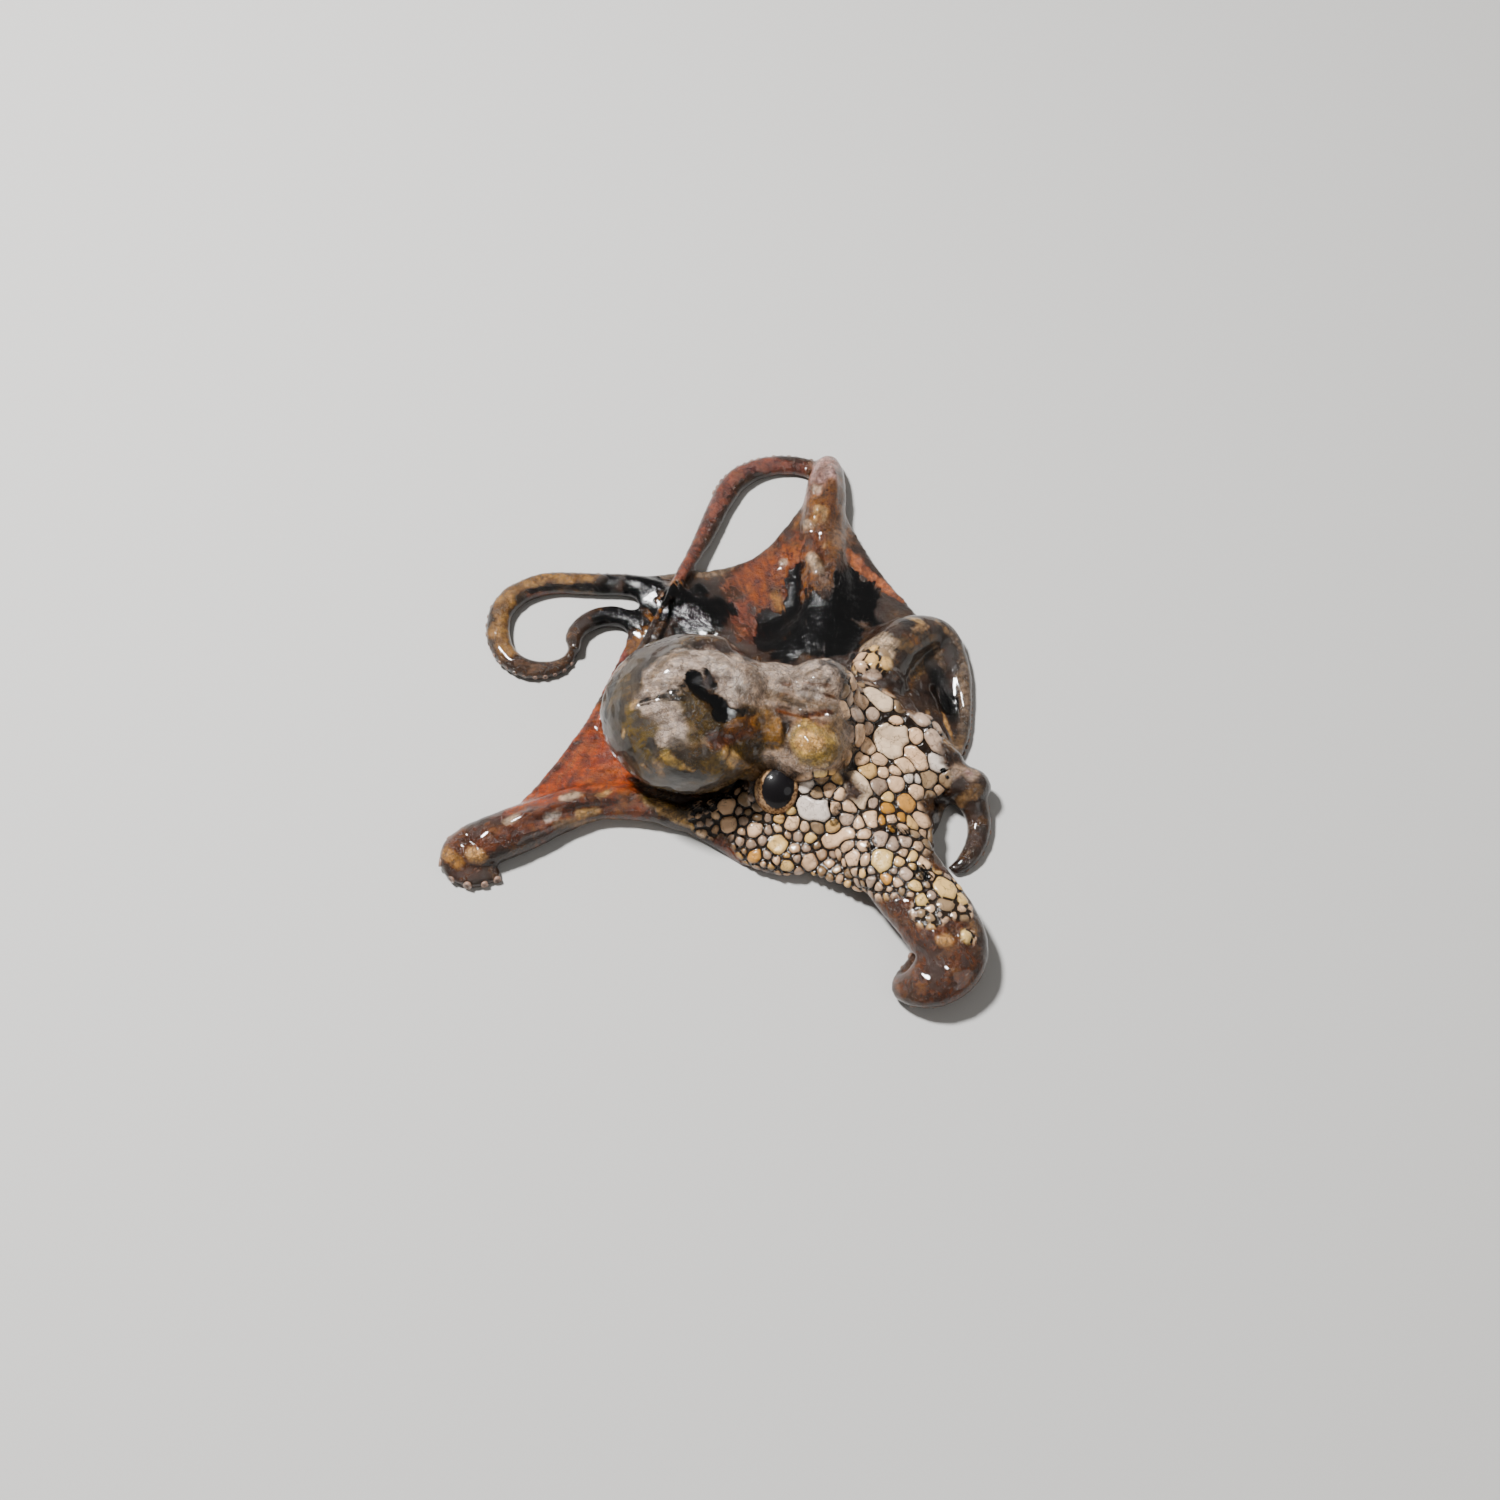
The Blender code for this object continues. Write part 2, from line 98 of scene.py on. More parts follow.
# name: centre, half sizes, turn about Z in degrees
LUMPS = {
    "mantle": ((-13.2, -0.6, 16.8), (19.4, 18.4, 14.4), -6),
    "mantle_top": ((-10.0, 2.0, 22.0), (15.0, 11.0, 8.6), -4),
    "neck": ((2.5, -1.0, 15.5), (12.5, 12.0, 10.0), -6),
    "nape": ((3.4, 3.2, 18.2), (11.0, 7.6, 7.6), 0),
    "head": ((12.5, -2.5, 13.0), (13.0, 14.0, 11.0), -8),
    "far_brow": ((15.5, 4.2, 19.0), (8.0, 6.6, 7.6), 0),
    "near_brow": ((13.4, -9.6, 17.0), (7.8, 6.8, 7.0), -15),
    "amber_lump": ((5.6, -7.6, 19.6), (4.6, 4.2, 4.2), 0),
    "cheek": ((18.6, -15.5, 6.4), (13.0, 10.5, 8.2), -18),
    "crown": ((20.5, -11.0, 0.5), (23.0, 19.5, 12.6), -12),
    "eye_slope": ((4.5, -16.5, 0.5), (14.5, 14.0, 7.8), 0),
    "pool_floor": ((17.5, 20.0, 1.0), (15.0, 17.0, 7.4), 0),
    "bump": ((47.4, -12.2, 4.6), (5.8, 4.6, 4.6), 0),
}
EYES = {
    "eye_right": ((6.2, -13.9, 7.7), (-0.10, -0.55, 0.83)),
    "eye_left": ((12.0, 6.4, 9.8), (-0.10, 0.95, 0.30)),
}
EYE_RADIUS = 6.2
MOUTH = (14.0, -4.0, 0.0)
LID_DEPTH = 1.3  # how much larger the mound round an eye is than its ball
LID_REACH = 3.6  # skin farther off the ball than this isn't drawn into the lids
LID_TUCK = 1.3  # inside the opening the skin lies this far under the ball's surface
LID_LIFT, LID_ROLL = 0.35, 0.5  # how far a lid stands off the ball, and its rolled edge's height
# an eye's opening in shares of its ball: half width, height over and under the middle
OPENINGS = {"eye_right": (0.82, 0.965, 0.90), "eye_left": (0.70, 0.62, 0.62)}
EYE_STANDS_OUT = 0.3  # how far a ball stands out past its mound
# the core is all that lies near this line, and its edge fades out
CORE_LINE = ((-14, 0, 16), (14, -3, 14), (26, -8, 6))
CORE_REACH, CORE_FADE = 34, 14
RELIEF = 0.5  # height of the hide's soft lumps
# where the skin is evened out most: centre, radius, rounds
BLENDS = (
    ((2.0, 2.0, 24.0), 9, 60), ((24.0, 8.0, 16.0), 9, 40), ((34.0, 2.0, 12.0), 9, 60),
    ((24.0, -22.0, 10.0), 12, 120), ((36.0, -16.0, 9.0), 9, 80), ((8.0, -24.0, 4.0), 9, 60),
    ((34.0, 16.0, 12.0), 8, 40), ((17.0, 66.0, 4.0), 6, 30), ((-30.0, 26.0, 3.0), 8, 20),
    ((18.0, 24.0, 6.0), 11, 120), ((18.0, 40.0, 6.0), 10, 100), ((17.5, 54.0, 5.0), 9, 60),
    ((-12.0, 32.0, 5.0), 13, 120), ((0.0, 24.0, 5.0), 10, 80), ((-24.0, 36.0, 3.0), 7, 40),
    ((5.0, -22.0, 6.0), 11, 60), ((-16.0, -20.0, 3.0), 9, 30), ((18.0, 16.0, 8.0), 9, 160),
    ((18.0, 30.0, 7.0), 10, 160),
)

# ---------------------------------------------------------------- the arms

# name: flatness, then (x, y, lift off the floor, half width) from the mouth to the tip
ARMS = {
    "left1": (
        0.85, (26, 4, 3, 6.6), (28.6, 16, 4.6, 6.6), (35.6, 25.4, 3.4, 5.4), (43.4, 28.6, 1.0, 3.8),
        (47.2, 22.6, 0.1, 2.8), (48.0, 12.5, 0, 2.5), (47.2, 2, 0, 2.1), (44.6, -5.4, 0, 1.3),
    ),
    "left2": (
        0.72, (19, 6, 3.0, 6.4), (18.6, 20, 1.2, 6.4), (18, 34, 0.8, 6.2), (17.4, 48, 0.9, 5.6),
        (17.2, 60, 0.5, 5.0), (17.9, 69, 0.3, 4.2), (17.6, 75.0, 0.1, 3.2), (13.6, 78.0, 0, 2.5),
        (7.7, 78.8, 0, 2.6), (2.5, 77.8, 0, 2.8), (-2.5, 74.7, 0, 3.0), (-6, 69.6, 0, 3.0),
        (-10.4, 58.3, 0.8, 2.4), (-13.1, 51.1, 2.2, 2.0), (-16.3, 43.2, 4.0, 1.8), (-20.6, 33, 5.6, 1.6),
        (-24.1, 23.7, 6.4, 1.4), (-28.4, 16.8, 5.4, 1.2), (-31.3, 11.1, 4.2, 1.0), (-34, 5, 3.0, 0.8),
    ),
    "left3": (
        0.8, (12, 8, 2.5, 5.0), (-2.5, 26, 0.6, 3.8), (-13.5, 37.2, 0.2, 3.2), (-25.5, 42.8, 0.1, 2.9),
        (-37.3, 43.9, 0, 2.8), (-47, 44, 0, 2.8), (-53.6, 41.4, 0, 2.9), (-57.4, 36.8, 0, 2.9),
        (-58.2, 30.6, 0, 2.8), (-56.2, 24.6, 0, 2.6), (-51.4, 20.8, 0, 2.4), (-46.2, 20.6, 0, 2.1),
        (-42.4, 22.6, 0, 1.7), (-40.6, 26.4, 0, 1.1),
    ),
    "left4": (
        0.8, (7, 4, 1.5, 4.4), (-11, 18.5, 0, 2.8), (-21.6, 29.6, 0, 2.6), (-28.6, 34.2, 0, 2.7),
        (-34.4, 34.6, 0.2, 2.6), (-38.4, 32.2, 0.6, 2.4), (-40.6, 28.6, 1.2, 2.0), (-40.0, 24.6, 2.0, 1.5),
    ),
    "right1": (
        0.85, (19, 3, 8, 6.6), (28.6, 2.4, 6.2, 6.4), (36.2, -1.4, 5.0, 5.8), (42.4, -8.0, 3.6, 4.9),
        (47.6, -13.0, 1.8, 3.9), (50.2, -18.4, 0.1, 2.9), (49.4, -24.6, 0, 2.5), (46.8, -28.8, 0, 2.0),
        (43.8, -31.0, 0, 1.3),
    ),
    "right2": (
        0.56, (22, -14, 3.6, 8.6), (27.6, -27, 3.4, 9.2), (34.8, -38.0, 3.2, 8.8), (40.4, -46.6, 3.0, 8.6),
        (42.2, -53.4, 2.8, 8.0), (39.4, -58.0, 2.6, 6.6), (35.4, -59.6, 1.8, 4.8),
        (32.6, -58.4, 0.6, 3.0), (34.6, -54.0, 0, 2.4), (37.4, -48.0, 0, 2.0), (35.2, -40, 0, 1.6),
        (31, -33.6, 0, 1.1),
    ),
    "right3": (
        0.85, (17, -16, 1.8, 5.4), (13.4, -26.2, 0.6, 4.4), (5.6, -29.0, 0.3, 3.4), (-4, -24.6, 0, 2.6),
        (-12, -21.0, 0, 2.0), (-18.6, -19.2, 0, 1.4),
    ),
    "right4": (
        0.74, (13, -9.5, 2.0, 5.2), (-2.4, -16.0, 1.0, 4.8), (-13.2, -17.2, 0.6, 4.4), (-22, -15.6, 0.6, 4.2),
        (-33, -14.8, 0.6, 4.3), (-41, -17.0, 0.3, 4.9), (-48, -20.4, 0, 5.5), (-54.5, -23.6, 0, 5.7),
        (-60, -25.8, 0, 5.3), (-63.6, -27.4, 0, 4.2), (-64.0, -30.8, 0, 2.7), (-59.6, -32.8, 0, 2.2),
        (-54.4, -31.4, 0, 1.5),
    ),
}
# the pointed fold at the far end of the second left arm
FOLD_TIP = (0.8, (17.4, 60, 0.6, 5.2), (18.1, 69, 0.6, 5.0), (18.6, 76.0, 0.4, 3.8), (18.8, 80.0, 0.2, 2.2))
ARM_REST = 0.69  # an arm's middle stands this share of its half height over the floor

# rows of cups: arm, part of its length, how many, side, tilt in degrees, half size, how far out
SUCKER_ROWS = (
    ("right4", (0.74, 0.80), 3, 1, -14, 1.5, 0.96), ("right4", (0.82, 0.99), 7, 1, 6, 1.6, 0.9),
    ("left3", (0.40, 0.80), 24, 1, -4, 0.85, 0.94), ("left3", (0.81, 0.97), 11, 1, 4, 0.9, 0.9),
    ("left2", (0.40, 0.58), 20, 1, -4, 0.85, 0.94), ("left1", (0.52, 0.95), 20, -1, -16, 0.8, 0.95),
    ("right1", (0.62, 0.95), 9, -1, -14, 0.9, 0.94), ("right2", (0.5, 0.8), 9, -1, -30, 1.1, 0.95),
)

CUP_TAPER = 0.45  # how much smaller a cup is at an arm's tip than at its root
CUP_CLEARANCE = 1.05  # a cup's middle stands at least this many of its radii over the floor

# Webs: first arm, reach along it, second arm, reach, dip of the free edge, sag
WEBS = (
    ("left1", 0.46, "left2", 0.42, 0.08, 1.5),
    ("left2", 0.42, "left3", 0.50, 0.24, 1.2),
    ("left3", 0.48, "left4", 0.70, 0.06, -0.4),
    ("left4", 0.70, "right4", 0.80, 0.10, 0.6),
    ("right4", 0.52, "right3", 0.95, 0.04, 0.3),
    ("right3", 0.92, "right2", 0.42, 0.05, 1.0),
    ("right2", 0.46, "right1", 0.50, 0.12, 0.6),
    ("right1", 0.60, "left1", 0.90, 0.10, 1.0),
)
WEB_ALONG, WEB_ACROSS = 24, 20
WEB_THICK = 1.9
WEB_CLEARANCE = 0.3  # between a web and the floor
CURVE_SAMPLES = 24  # places worked out between two points of a route


def curve_through(rows, spacing=1.0):
    """Evenly spaced rows along a smooth curve through the given ones."""
    rows = np.array(rows, float)
    rows = np.vstack([2 * rows[0] - rows[1], rows, 2 * rows[-1] - rows[-2]])
    fine = []
    for a, b, c, d in zip(rows, rows[1:], rows[2:], rows[3:]):
        for t in np.linspace(0, 1, CURVE_SAMPLES, endpoint=False):
            fine.append(
                0.5 * (2 * b + (c - a) * t + (2 * a - 5 * b + 4 * c - d) * t**2
                       + (3 * b - a - 3 * c + d) * t**3)
            )
    fine = np.array(fine + [rows[-2]])
    along = np.concatenate([[0], np.cumsum(np.linalg.norm(np.diff(fine[:, :3], axis=0), axis=1))])
    marks = np.linspace(0, along[-1], max(3, int(round(along[-1] / spacing)) + 1))
    return np.column_stack([np.interp(marks, along, column) for column in fine.T])


def middle_line(flat, *route):
    """An arm's middle line as rows of x, y, z and half width."""
    rows = [(x, y, lift + ARM_REST * flat * wide, wide) for x, y, lift, wide in route]
    return curve_through(rows)


LINES = {name: middle_line(*arm) for name, arm in ARMS.items()}


def start_clean():
    """Nothing selected, so an operator acts on the new piece alone."""
    if bpy.context.object and bpy.context.object.mode != "OBJECT":
        bpy.ops.object.mode_set(mode="OBJECT")
    bpy.ops.object.select_all(action="DESELECT")


def take(obj):
    start_clean()
    obj.select_set(True)
    bpy.context.view_layer.objects.active = obj
    return obj


def apply_place(obj):
    take(obj)
    bpy.ops.object.transform_apply(location=True, rotation=True, scale=True)
    return obj


def apply_modifiers(obj):
    take(obj)
    for modifier in list(obj.modifiers):
        bpy.ops.object.modifier_apply(modifier=modifier.name)
    return obj


def add_lump(name, centre, half, turn):
    """A ball stretched into one swelling of the body."""
    start_clean()
    bpy.ops.mesh.primitive_uv_sphere_add(
        segments=48, ring_count=32, radius=MM, location=metres(centre), scale=half,
        rotation=(0, 0, math.radians(turn)),
    )
    obj = bpy.context.object
    obj.name = name
    return apply_place(obj)


def add_arm(name, flat, line):
    """A tapering tube drawn as a curve, then pressed to the arm's flatness."""
    start_clean()
    bpy.ops.curve.primitive_nurbs_path_add()
    obj = bpy.context.object
    obj.name = "arm_" + name
    curve = obj.data
    curve.splines.clear()
    spline = curve.splines.new("POLY")
    spline.points.add(len(line) - 1)
    raised = line[:, :3] * (1, 1, 1 / flat)
    for point, place, wide in zip(spline.points, metres(raised), line[:, 3]):
        point.co = (*place, 1)
        point.radius = wide * MM
    curve.dimensions = "3D"
    curve.twist_mode = "Z_UP"
    curve.bevel_depth = 1.0
    curve.bevel_resolution = 6
    curve.use_fill_caps = True
    bpy.ops.object.convert(target="MESH")
    obj = bpy.context.object
    obj.scale = (1, 1, flat)
    return apply_place(obj)


def web_rows(first, reach_first, second, reach_second, dip, sag):
    """Places over one web, from the mouth out and from the first arm to the second."""
    lines = ((LINES[first], reach_first), (LINES[second], reach_second))
    rows = []
    for out in np.linspace(0, 1, WEB_ALONG + 1):
        for across in np.linspace(0, 1, WEB_ACROSS + 1):
            hollow = 4 * across * (1 - across)
            ends = []
            for line, reach in lines:
                place = out * reach * (1 - dip * hollow) * (len(line) - 1)
                ends.append([np.interp(place, np.arange(len(line)), line[:, k]) for k in range(3)])
            point = np.array(ends[0]) * (1 - across) + np.array(ends[1]) * across
            point[2] = max(point[2] - sag * hollow, WEB_CLEARANCE + WEB_THICK / 2)
            rows.append(point)
    return np.array(rows)


def add_web(first, reach_first, second, reach_second, dip, sag):
    """A plane laid between two arms and given its thickness."""
    start_clean()
    bpy.ops.mesh.primitive_grid_add(x_subdivisions=WEB_ACROSS, y_subdivisions=WEB_ALONG, size=1)
    obj = bpy.context.object
    obj.name = f"web_{first}_{second}"
    places = metres(web_rows(first, reach_first, second, reach_second, dip, sag))
    for vert, place in zip(obj.data.vertices, places):
        vert.co = place
    solid = obj.modifiers.new("thickness", "SOLIDIFY")
    solid.thickness = WEB_THICK * MM
    solid.offset = 0
    return apply_modifiers(obj)


def join(objects, name):
    start_clean()
    for obj in objects:
        obj.select_set(True)
    bpy.context.view_layer.objects.active = objects[0]
    bpy.ops.object.join()
    obj = bpy.context.object
    obj.name = name
    return obj


def remesh(obj):
    """One closed skin round everything that was joined."""
    cover = obj.modifiers.new("skin", "REMESH")
    cover.mode = "VOXEL"
    cover.voxel_size = VOXEL * MM
    return apply_modifiers(obj)


class Skin:
    """The skin's vertices in millimetres, and the edges between them."""

    def __init__(self, obj):
        self.obj = obj
        mesh = obj.data
        count = len(mesh.vertices)
        co = np.empty(count * 3)
        mesh.vertices.foreach_get("co", co)
        self.co = millimetres(co.reshape(-1, 3))
        edges = np.empty(len(mesh.edges) * 2, int)
        mesh.edges.foreach_get("vertices", edges)
        self.edges = edges.reshape(-1, 2)

    def average(self, values, edges, degree):
        """Each vertex's mean over its neighbours."""
        a, b = edges.T
        total = np.empty_like(values)
        for k in range(values.shape[1]):
            column = values[:, k]
            total[:, k] = np.bincount(a, column[b], len(values)) + np.bincount(b, column[a], len(values))
        return total / degree[:, None]

    def smooth(self, weight, rounds, keep_size=True):
        """Evens the surface out where there is weight; the outward half step keeps its size."""
        moved = weight > 0.004
        edges = self.edges[moved[self.edges].any(axis=1)]
        used, edges = np.unique(edges, return_inverse=True)
        edges = edges.reshape(-1, 2)
        degree = np.maximum(np.bincount(edges.ravel(), minlength=len(used)), 1)
        weight = np.where(moved, weight, 0)[used][:, None]
        co = self.co[used]
        for _ in range(rounds):
            co += 0.5 * weight * (self.average(co, edges, degree) - co)
            if keep_size:
                co -= 0.52 * weight * (self.average(co, edges, degree) - co)
        self.co[used] = co

    def normals(self):
        self.store()
        out = np.empty(len(self.co) * 3)
        self.obj.data.vertices.foreach_get("normal", out)
        return out.reshape(-1, 3)

    def store(self):
        self.obj.data.vertices.foreach_set("co", metres(self.co).ravel())
        self.obj.data.update()

    def settle(self):
        """Flattens whatever is under the floor."""
        self.co[:, 2] = np.maximum(self.co[:, 2], 0.0)


def line_distance(points, path):
    """How far each point is from a path of straight pieces, and how far along the path, 0 to 1."""
    path = np.asarray(path, float)
    best = np.full(len(points), np.inf)
    share = np.zeros(len(points))
    lengths = np.linalg.norm(np.diff(path, axis=0), axis=1)
    starts = np.concatenate([[0], np.cumsum(lengths)])
    for a, b, length, start in zip(path, path[1:], lengths, starts):
        along = np.clip(((points - a) @ (b - a)) / max(length**2, 1e-9), 0, 1)
        gap = np.linalg.norm(points - a - along[:, None] * (b - a), axis=1)
        nearer = gap < best
        best[nearer] = gap[nearer]
        share[nearer] = (start + along[nearer] * length) / starts[-1]
    return best, share


def build_skin():
    pieces = [add_lump(name, *spec) for name, spec in LUMPS.items()]
    for name, (centre, look) in EYES.items():
        size = EYE_RADIUS + LID_DEPTH
        pieces.append(add_lump(name + "_mound", centre, (size, size, size), 0))
    pieces += [add_arm(name, arm[0], LINES[name]) for name, arm in ARMS.items()]
    pieces.append(add_arm("fold_tip", FOLD_TIP[0], middle_line(*FOLD_TIP)))
    pieces += [add_web(*spec) for spec in WEBS]
    obj = remesh(join(pieces, "skin"))
    refine(obj)
    print("skin triangles", sum(len(p.vertices) - 2 for p in obj.data.polygons))
    return obj


def face_fields(mesh):
    """Every face's centre in millimetres, and its normal."""
    centres = np.empty(len(mesh.polygons) * 3)
    normals = np.empty(len(mesh.polygons) * 3)
    mesh.polygons.foreach_get("center", centres)
    mesh.polygons.foreach_get("normal", normals)
    return millimetres(centres.reshape(-1, 3)), normals.reshape(-1, 3)


def edit_faces(obj, chosen):
    """Edit mode with only the chosen faces selected."""
    take(obj)
    bpy.ops.object.mode_set(mode="EDIT")
    bpy.ops.mesh.select_all(action="DESELECT")
    bpy.ops.mesh.select_mode(type="FACE")
    bpy.ops.object.mode_set(mode="OBJECT")
    obj.data.polygons.foreach_set("select", chosen)
    bpy.ops.object.mode_set(mode="EDIT")


def inside_balls(points, balls):
    """True where a point is in one of the balls, each a centre and a radius."""
    hit = np.zeros(len(points), bool)
    for centre, radius in balls:
        hit |= np.linalg.norm(points - centre, axis=1) < radius
    return hit


def refine(obj):
    """Finer faces on the cobbled hide and the head, fewer on the side that lies on the floor."""
    centres, normals = face_fields(obj.data)
    edit_faces(obj, inside_balls(centres, FINE_HIDE) & (normals[:, 2] > -0.3))
    bpy.ops.mesh.subdivide(number_cuts=1)
    bpy.ops.object.mode_set(mode="OBJECT")
    _, normals = face_fields(obj.data)
    edit_faces(obj, normals[:, 2] < -0.8)
    bpy.ops.mesh.select_less()
    bpy.ops.mesh.select_less()
    bpy.ops.mesh.decimate(ratio=UNDERSIDE_KEPT)
    bpy.ops.object.mode_set(mode="OBJECT")


def near_core(points):
    """1 on the mantle, head and crown, falling to 0 out on the arms and webs."""
    gap, _ = line_distance(points, CORE_LINE)
    return np.clip((CORE_REACH - gap) / CORE_FADE, 0, 1)


def on_skin(co, path):
    """A mark's places, each moved to the nearest of the skin's vertices."""
    return np.array([co[np.argmin(((co - place) ** 2).sum(axis=1))] for place in path])


def stroke(skin, width, height, path):
    """Raises the skin along a path, or presses it in where the height is below nought."""
    path = on_skin(skin.co, path)
    low, high = path.min(axis=0) - 3 * width, path.max(axis=0) + 3 * width
    near = np.where(np.all((skin.co > low) & (skin.co < high), axis=1))[0]
    gap, share = path_gap(skin.co[near], path)
    ends = np.clip(np.minimum(share, 1 - share) * 5 + 0.25, 0, 1)
    skin.co[near] += skin.normal[near] * (height * ends * np.exp(-((gap / width) ** 2)))[:, None]


def axes_of(look):
    """An eye's look, its sideways and its upward directions, each one long."""
    look = np.array(look) / np.linalg.norm(look)
    side = np.cross((0, 0, 1), look)
    side /= np.linalg.norm(side)
    return look, side, np.cross(look, side)


def ball_centre(name):
    centre, look = EYES[name]
    return np.array(centre) + axes_of(look)[0] * (LID_DEPTH + EYE_STANDS_OUT)


def ease(values, low, high):
    """0 below low, 1 above high, and smooth between."""
    t = np.clip((values - low) / (high - low), 0, 1)
    return t * t * (3 - 2 * t)


def open_lids(skin, name, half_wide, over, under):
    """Parts the skin over an eye and rolls its edge up into two lids."""
    look, side, up = axes_of(EYES[name][1])
    middle = ball_centre(name)
    away = skin.co - middle
    reach = np.linalg.norm(away, axis=1)
    sideways, upward = away @ side, away @ up
    turned = np.arccos(np.clip(away @ look / reach, -1, 1))
    flat = np.maximum(np.hypot(sideways, upward), 1e-6)
    half_tall = np.arcsin(np.where(upward > 0, over, under))
    rim = 1 / np.hypot(sideways / flat / math.asin(half_wide), upward / flat / half_tall)
    ring = turned / rim
    close = reach < EYE_RADIUS + LID_REACH
    inside = EYE_RADIUS - LID_TUCK
    lid = EYE_RADIUS + LID_LIFT + LID_ROLL * np.exp(-(((ring - 1.12) / 0.12) ** 2))
    wanted = inside + (lid - inside) * ease(ring, 0.86, 1.03)
    wanted = wanted + (np.maximum(reach, EYE_RADIUS + 0.4) - wanted) * ease(ring, 1.1, 1.45)
    pull = np.where(ring < 1, 1.0, 1 - ease(reach, EYE_RADIUS + 1.5, EYE_RADIUS + LID_REACH))
    near = close & (ring < 1.5)
    moved = middle + away * (1 + (wanted / reach - 1) * pull)[:, None]
    skin.co[near] = moved[near]
    around = ease(ring, 1.08, 1.3) * (1 - ease(ring, 1.6, 2.0)) * (reach < EYE_RADIUS + 5)
    skin.smooth(around, 30, keep_size=False)


def blend_spots(skin):
    """Extra smoothing where parts of the body run into each other."""
    for centre, radius, rounds in BLENDS:
        near = np.exp(-((np.linalg.norm(skin.co - centre, axis=1) / radius) ** 2) * 2)
        near[near < 0.01] = 0
        skin.smooth(near, rounds, keep_size=False)


def shape_skin(skin):
    core = near_core(skin.co)
    skin.smooth(0.1 + 0.9 * core, 14, keep_size=False)
    blend_spots(skin)
    skin.smooth(np.ones(len(skin.co)), 20)
    skin.normal = skin.normals()
    lumpy = cloud(skin.co, 4.5, 21) - 0.5 + 0.6 * (cloud(skin.co, 1.7, 22, 2) - 0.5)
    rough = np.clip(core * 1.2, 0.5, 1) * (skin.co[:, 2] > 0.6)
    skin.co += skin.normal * (RELIEF * lumpy * rough)[:, None]
    for width, height, path in STROKES:
        stroke(skin, width, height, path)
    for name, opening in OPENINGS.items():
        open_lids(skin, name, *opening)
    skin.smooth(np.full(len(skin.co), 0.5), 2)
    skin.normal = skin.normals()
    cobbles = Cobbles(skin)
    fields = paint_skin(skin, cobbles)
    cobbles.dome(skin)
    skin.settle()
    skin.store()
    keep_fields(skin.obj.data, fields)


def cloud(points, size, seed, octaves=3):
    """Soft random values between 0 and 1, about size millimetres across."""
    total, strength, most = np.zeros(len(points)), 1.0, 0.0
    for octave in range(octaves):
        q = points / size * 2**octave + 31.7 * (seed + octave)
        corner = np.floor(q).astype(np.int64)
        part = q - corner
        part = part * part * (3 - 2 * part)
        value = np.zeros(len(points))
        for step in np.ndindex(2, 2, 2):
            cell = (corner + step) @ np.array((73856093, 19349663, 83492791)) + seed * 7919
            cell = (cell ^ (cell >> 13)) * 1274126177 & 0x7FFFFFFF
            cell = (cell ^ (cell >> 15)) * 668265263 & 0x7FFFFFFF
            share = np.prod(np.where(np.array(step) == 1, part, 1 - part), axis=1)
            value += share * (cell / 0x7FFFFFFF)
        total += strength * value
        most += strength
        strength *= 0.55
    return np.clip((total / most - 0.5) * 1.6 + 0.5, 0, 1)


def linear(colour):
    """A screen colour, 0 to 255, as light."""
    c = np.array(colour) / 255
    return np.where(c < 0.04045, c / 12.92, ((c + 0.055) / 1.055) ** 2.4)


def path_gap(points, path):
    """Distance to a path or to its one point, and how far along the path, 0 to 1."""
    if len(path) == 1:
        return np.linalg.norm(points - path[0], axis=1), np.full(len(points), 0.5)
    return line_distance(points, path)


def brush(points, width, path, ragged):
    """1 under a brush drawn along a path, 0 away from it, with a ragged edge."""
    low, high = path.min(axis=0) - 2 * width, path.max(axis=0) + 2 * width
    out = np.zeros(len(points))
    near = np.where(np.all((points > low) & (points < high), axis=1))[0]
    if len(near):
        gap, _ = path_gap(points[near], path)
        out[near] = 1 - ease(gap / width + ragged[near], 0.55, 1.3)
    return out


def scatter(points, spacing, taken, seed):
    """Places picked at random among the points, each its own spacing from the others."""
    order = np.random.default_rng(seed).permutation(len(points))
    kept = [np.array(t[:3]) for t in taken]
    room = [t[3] for t in taken]
    fresh = []
    for index in order:
        point = points[index]
        gaps = np.linalg.norm(np.array(kept) - point, axis=1)
        half = spacing[index] * 0.5
        if np.all(gaps > np.array(room) + half):
            kept.append(point)
            room.append(half)
            fresh.append((point, half))
    return fresh


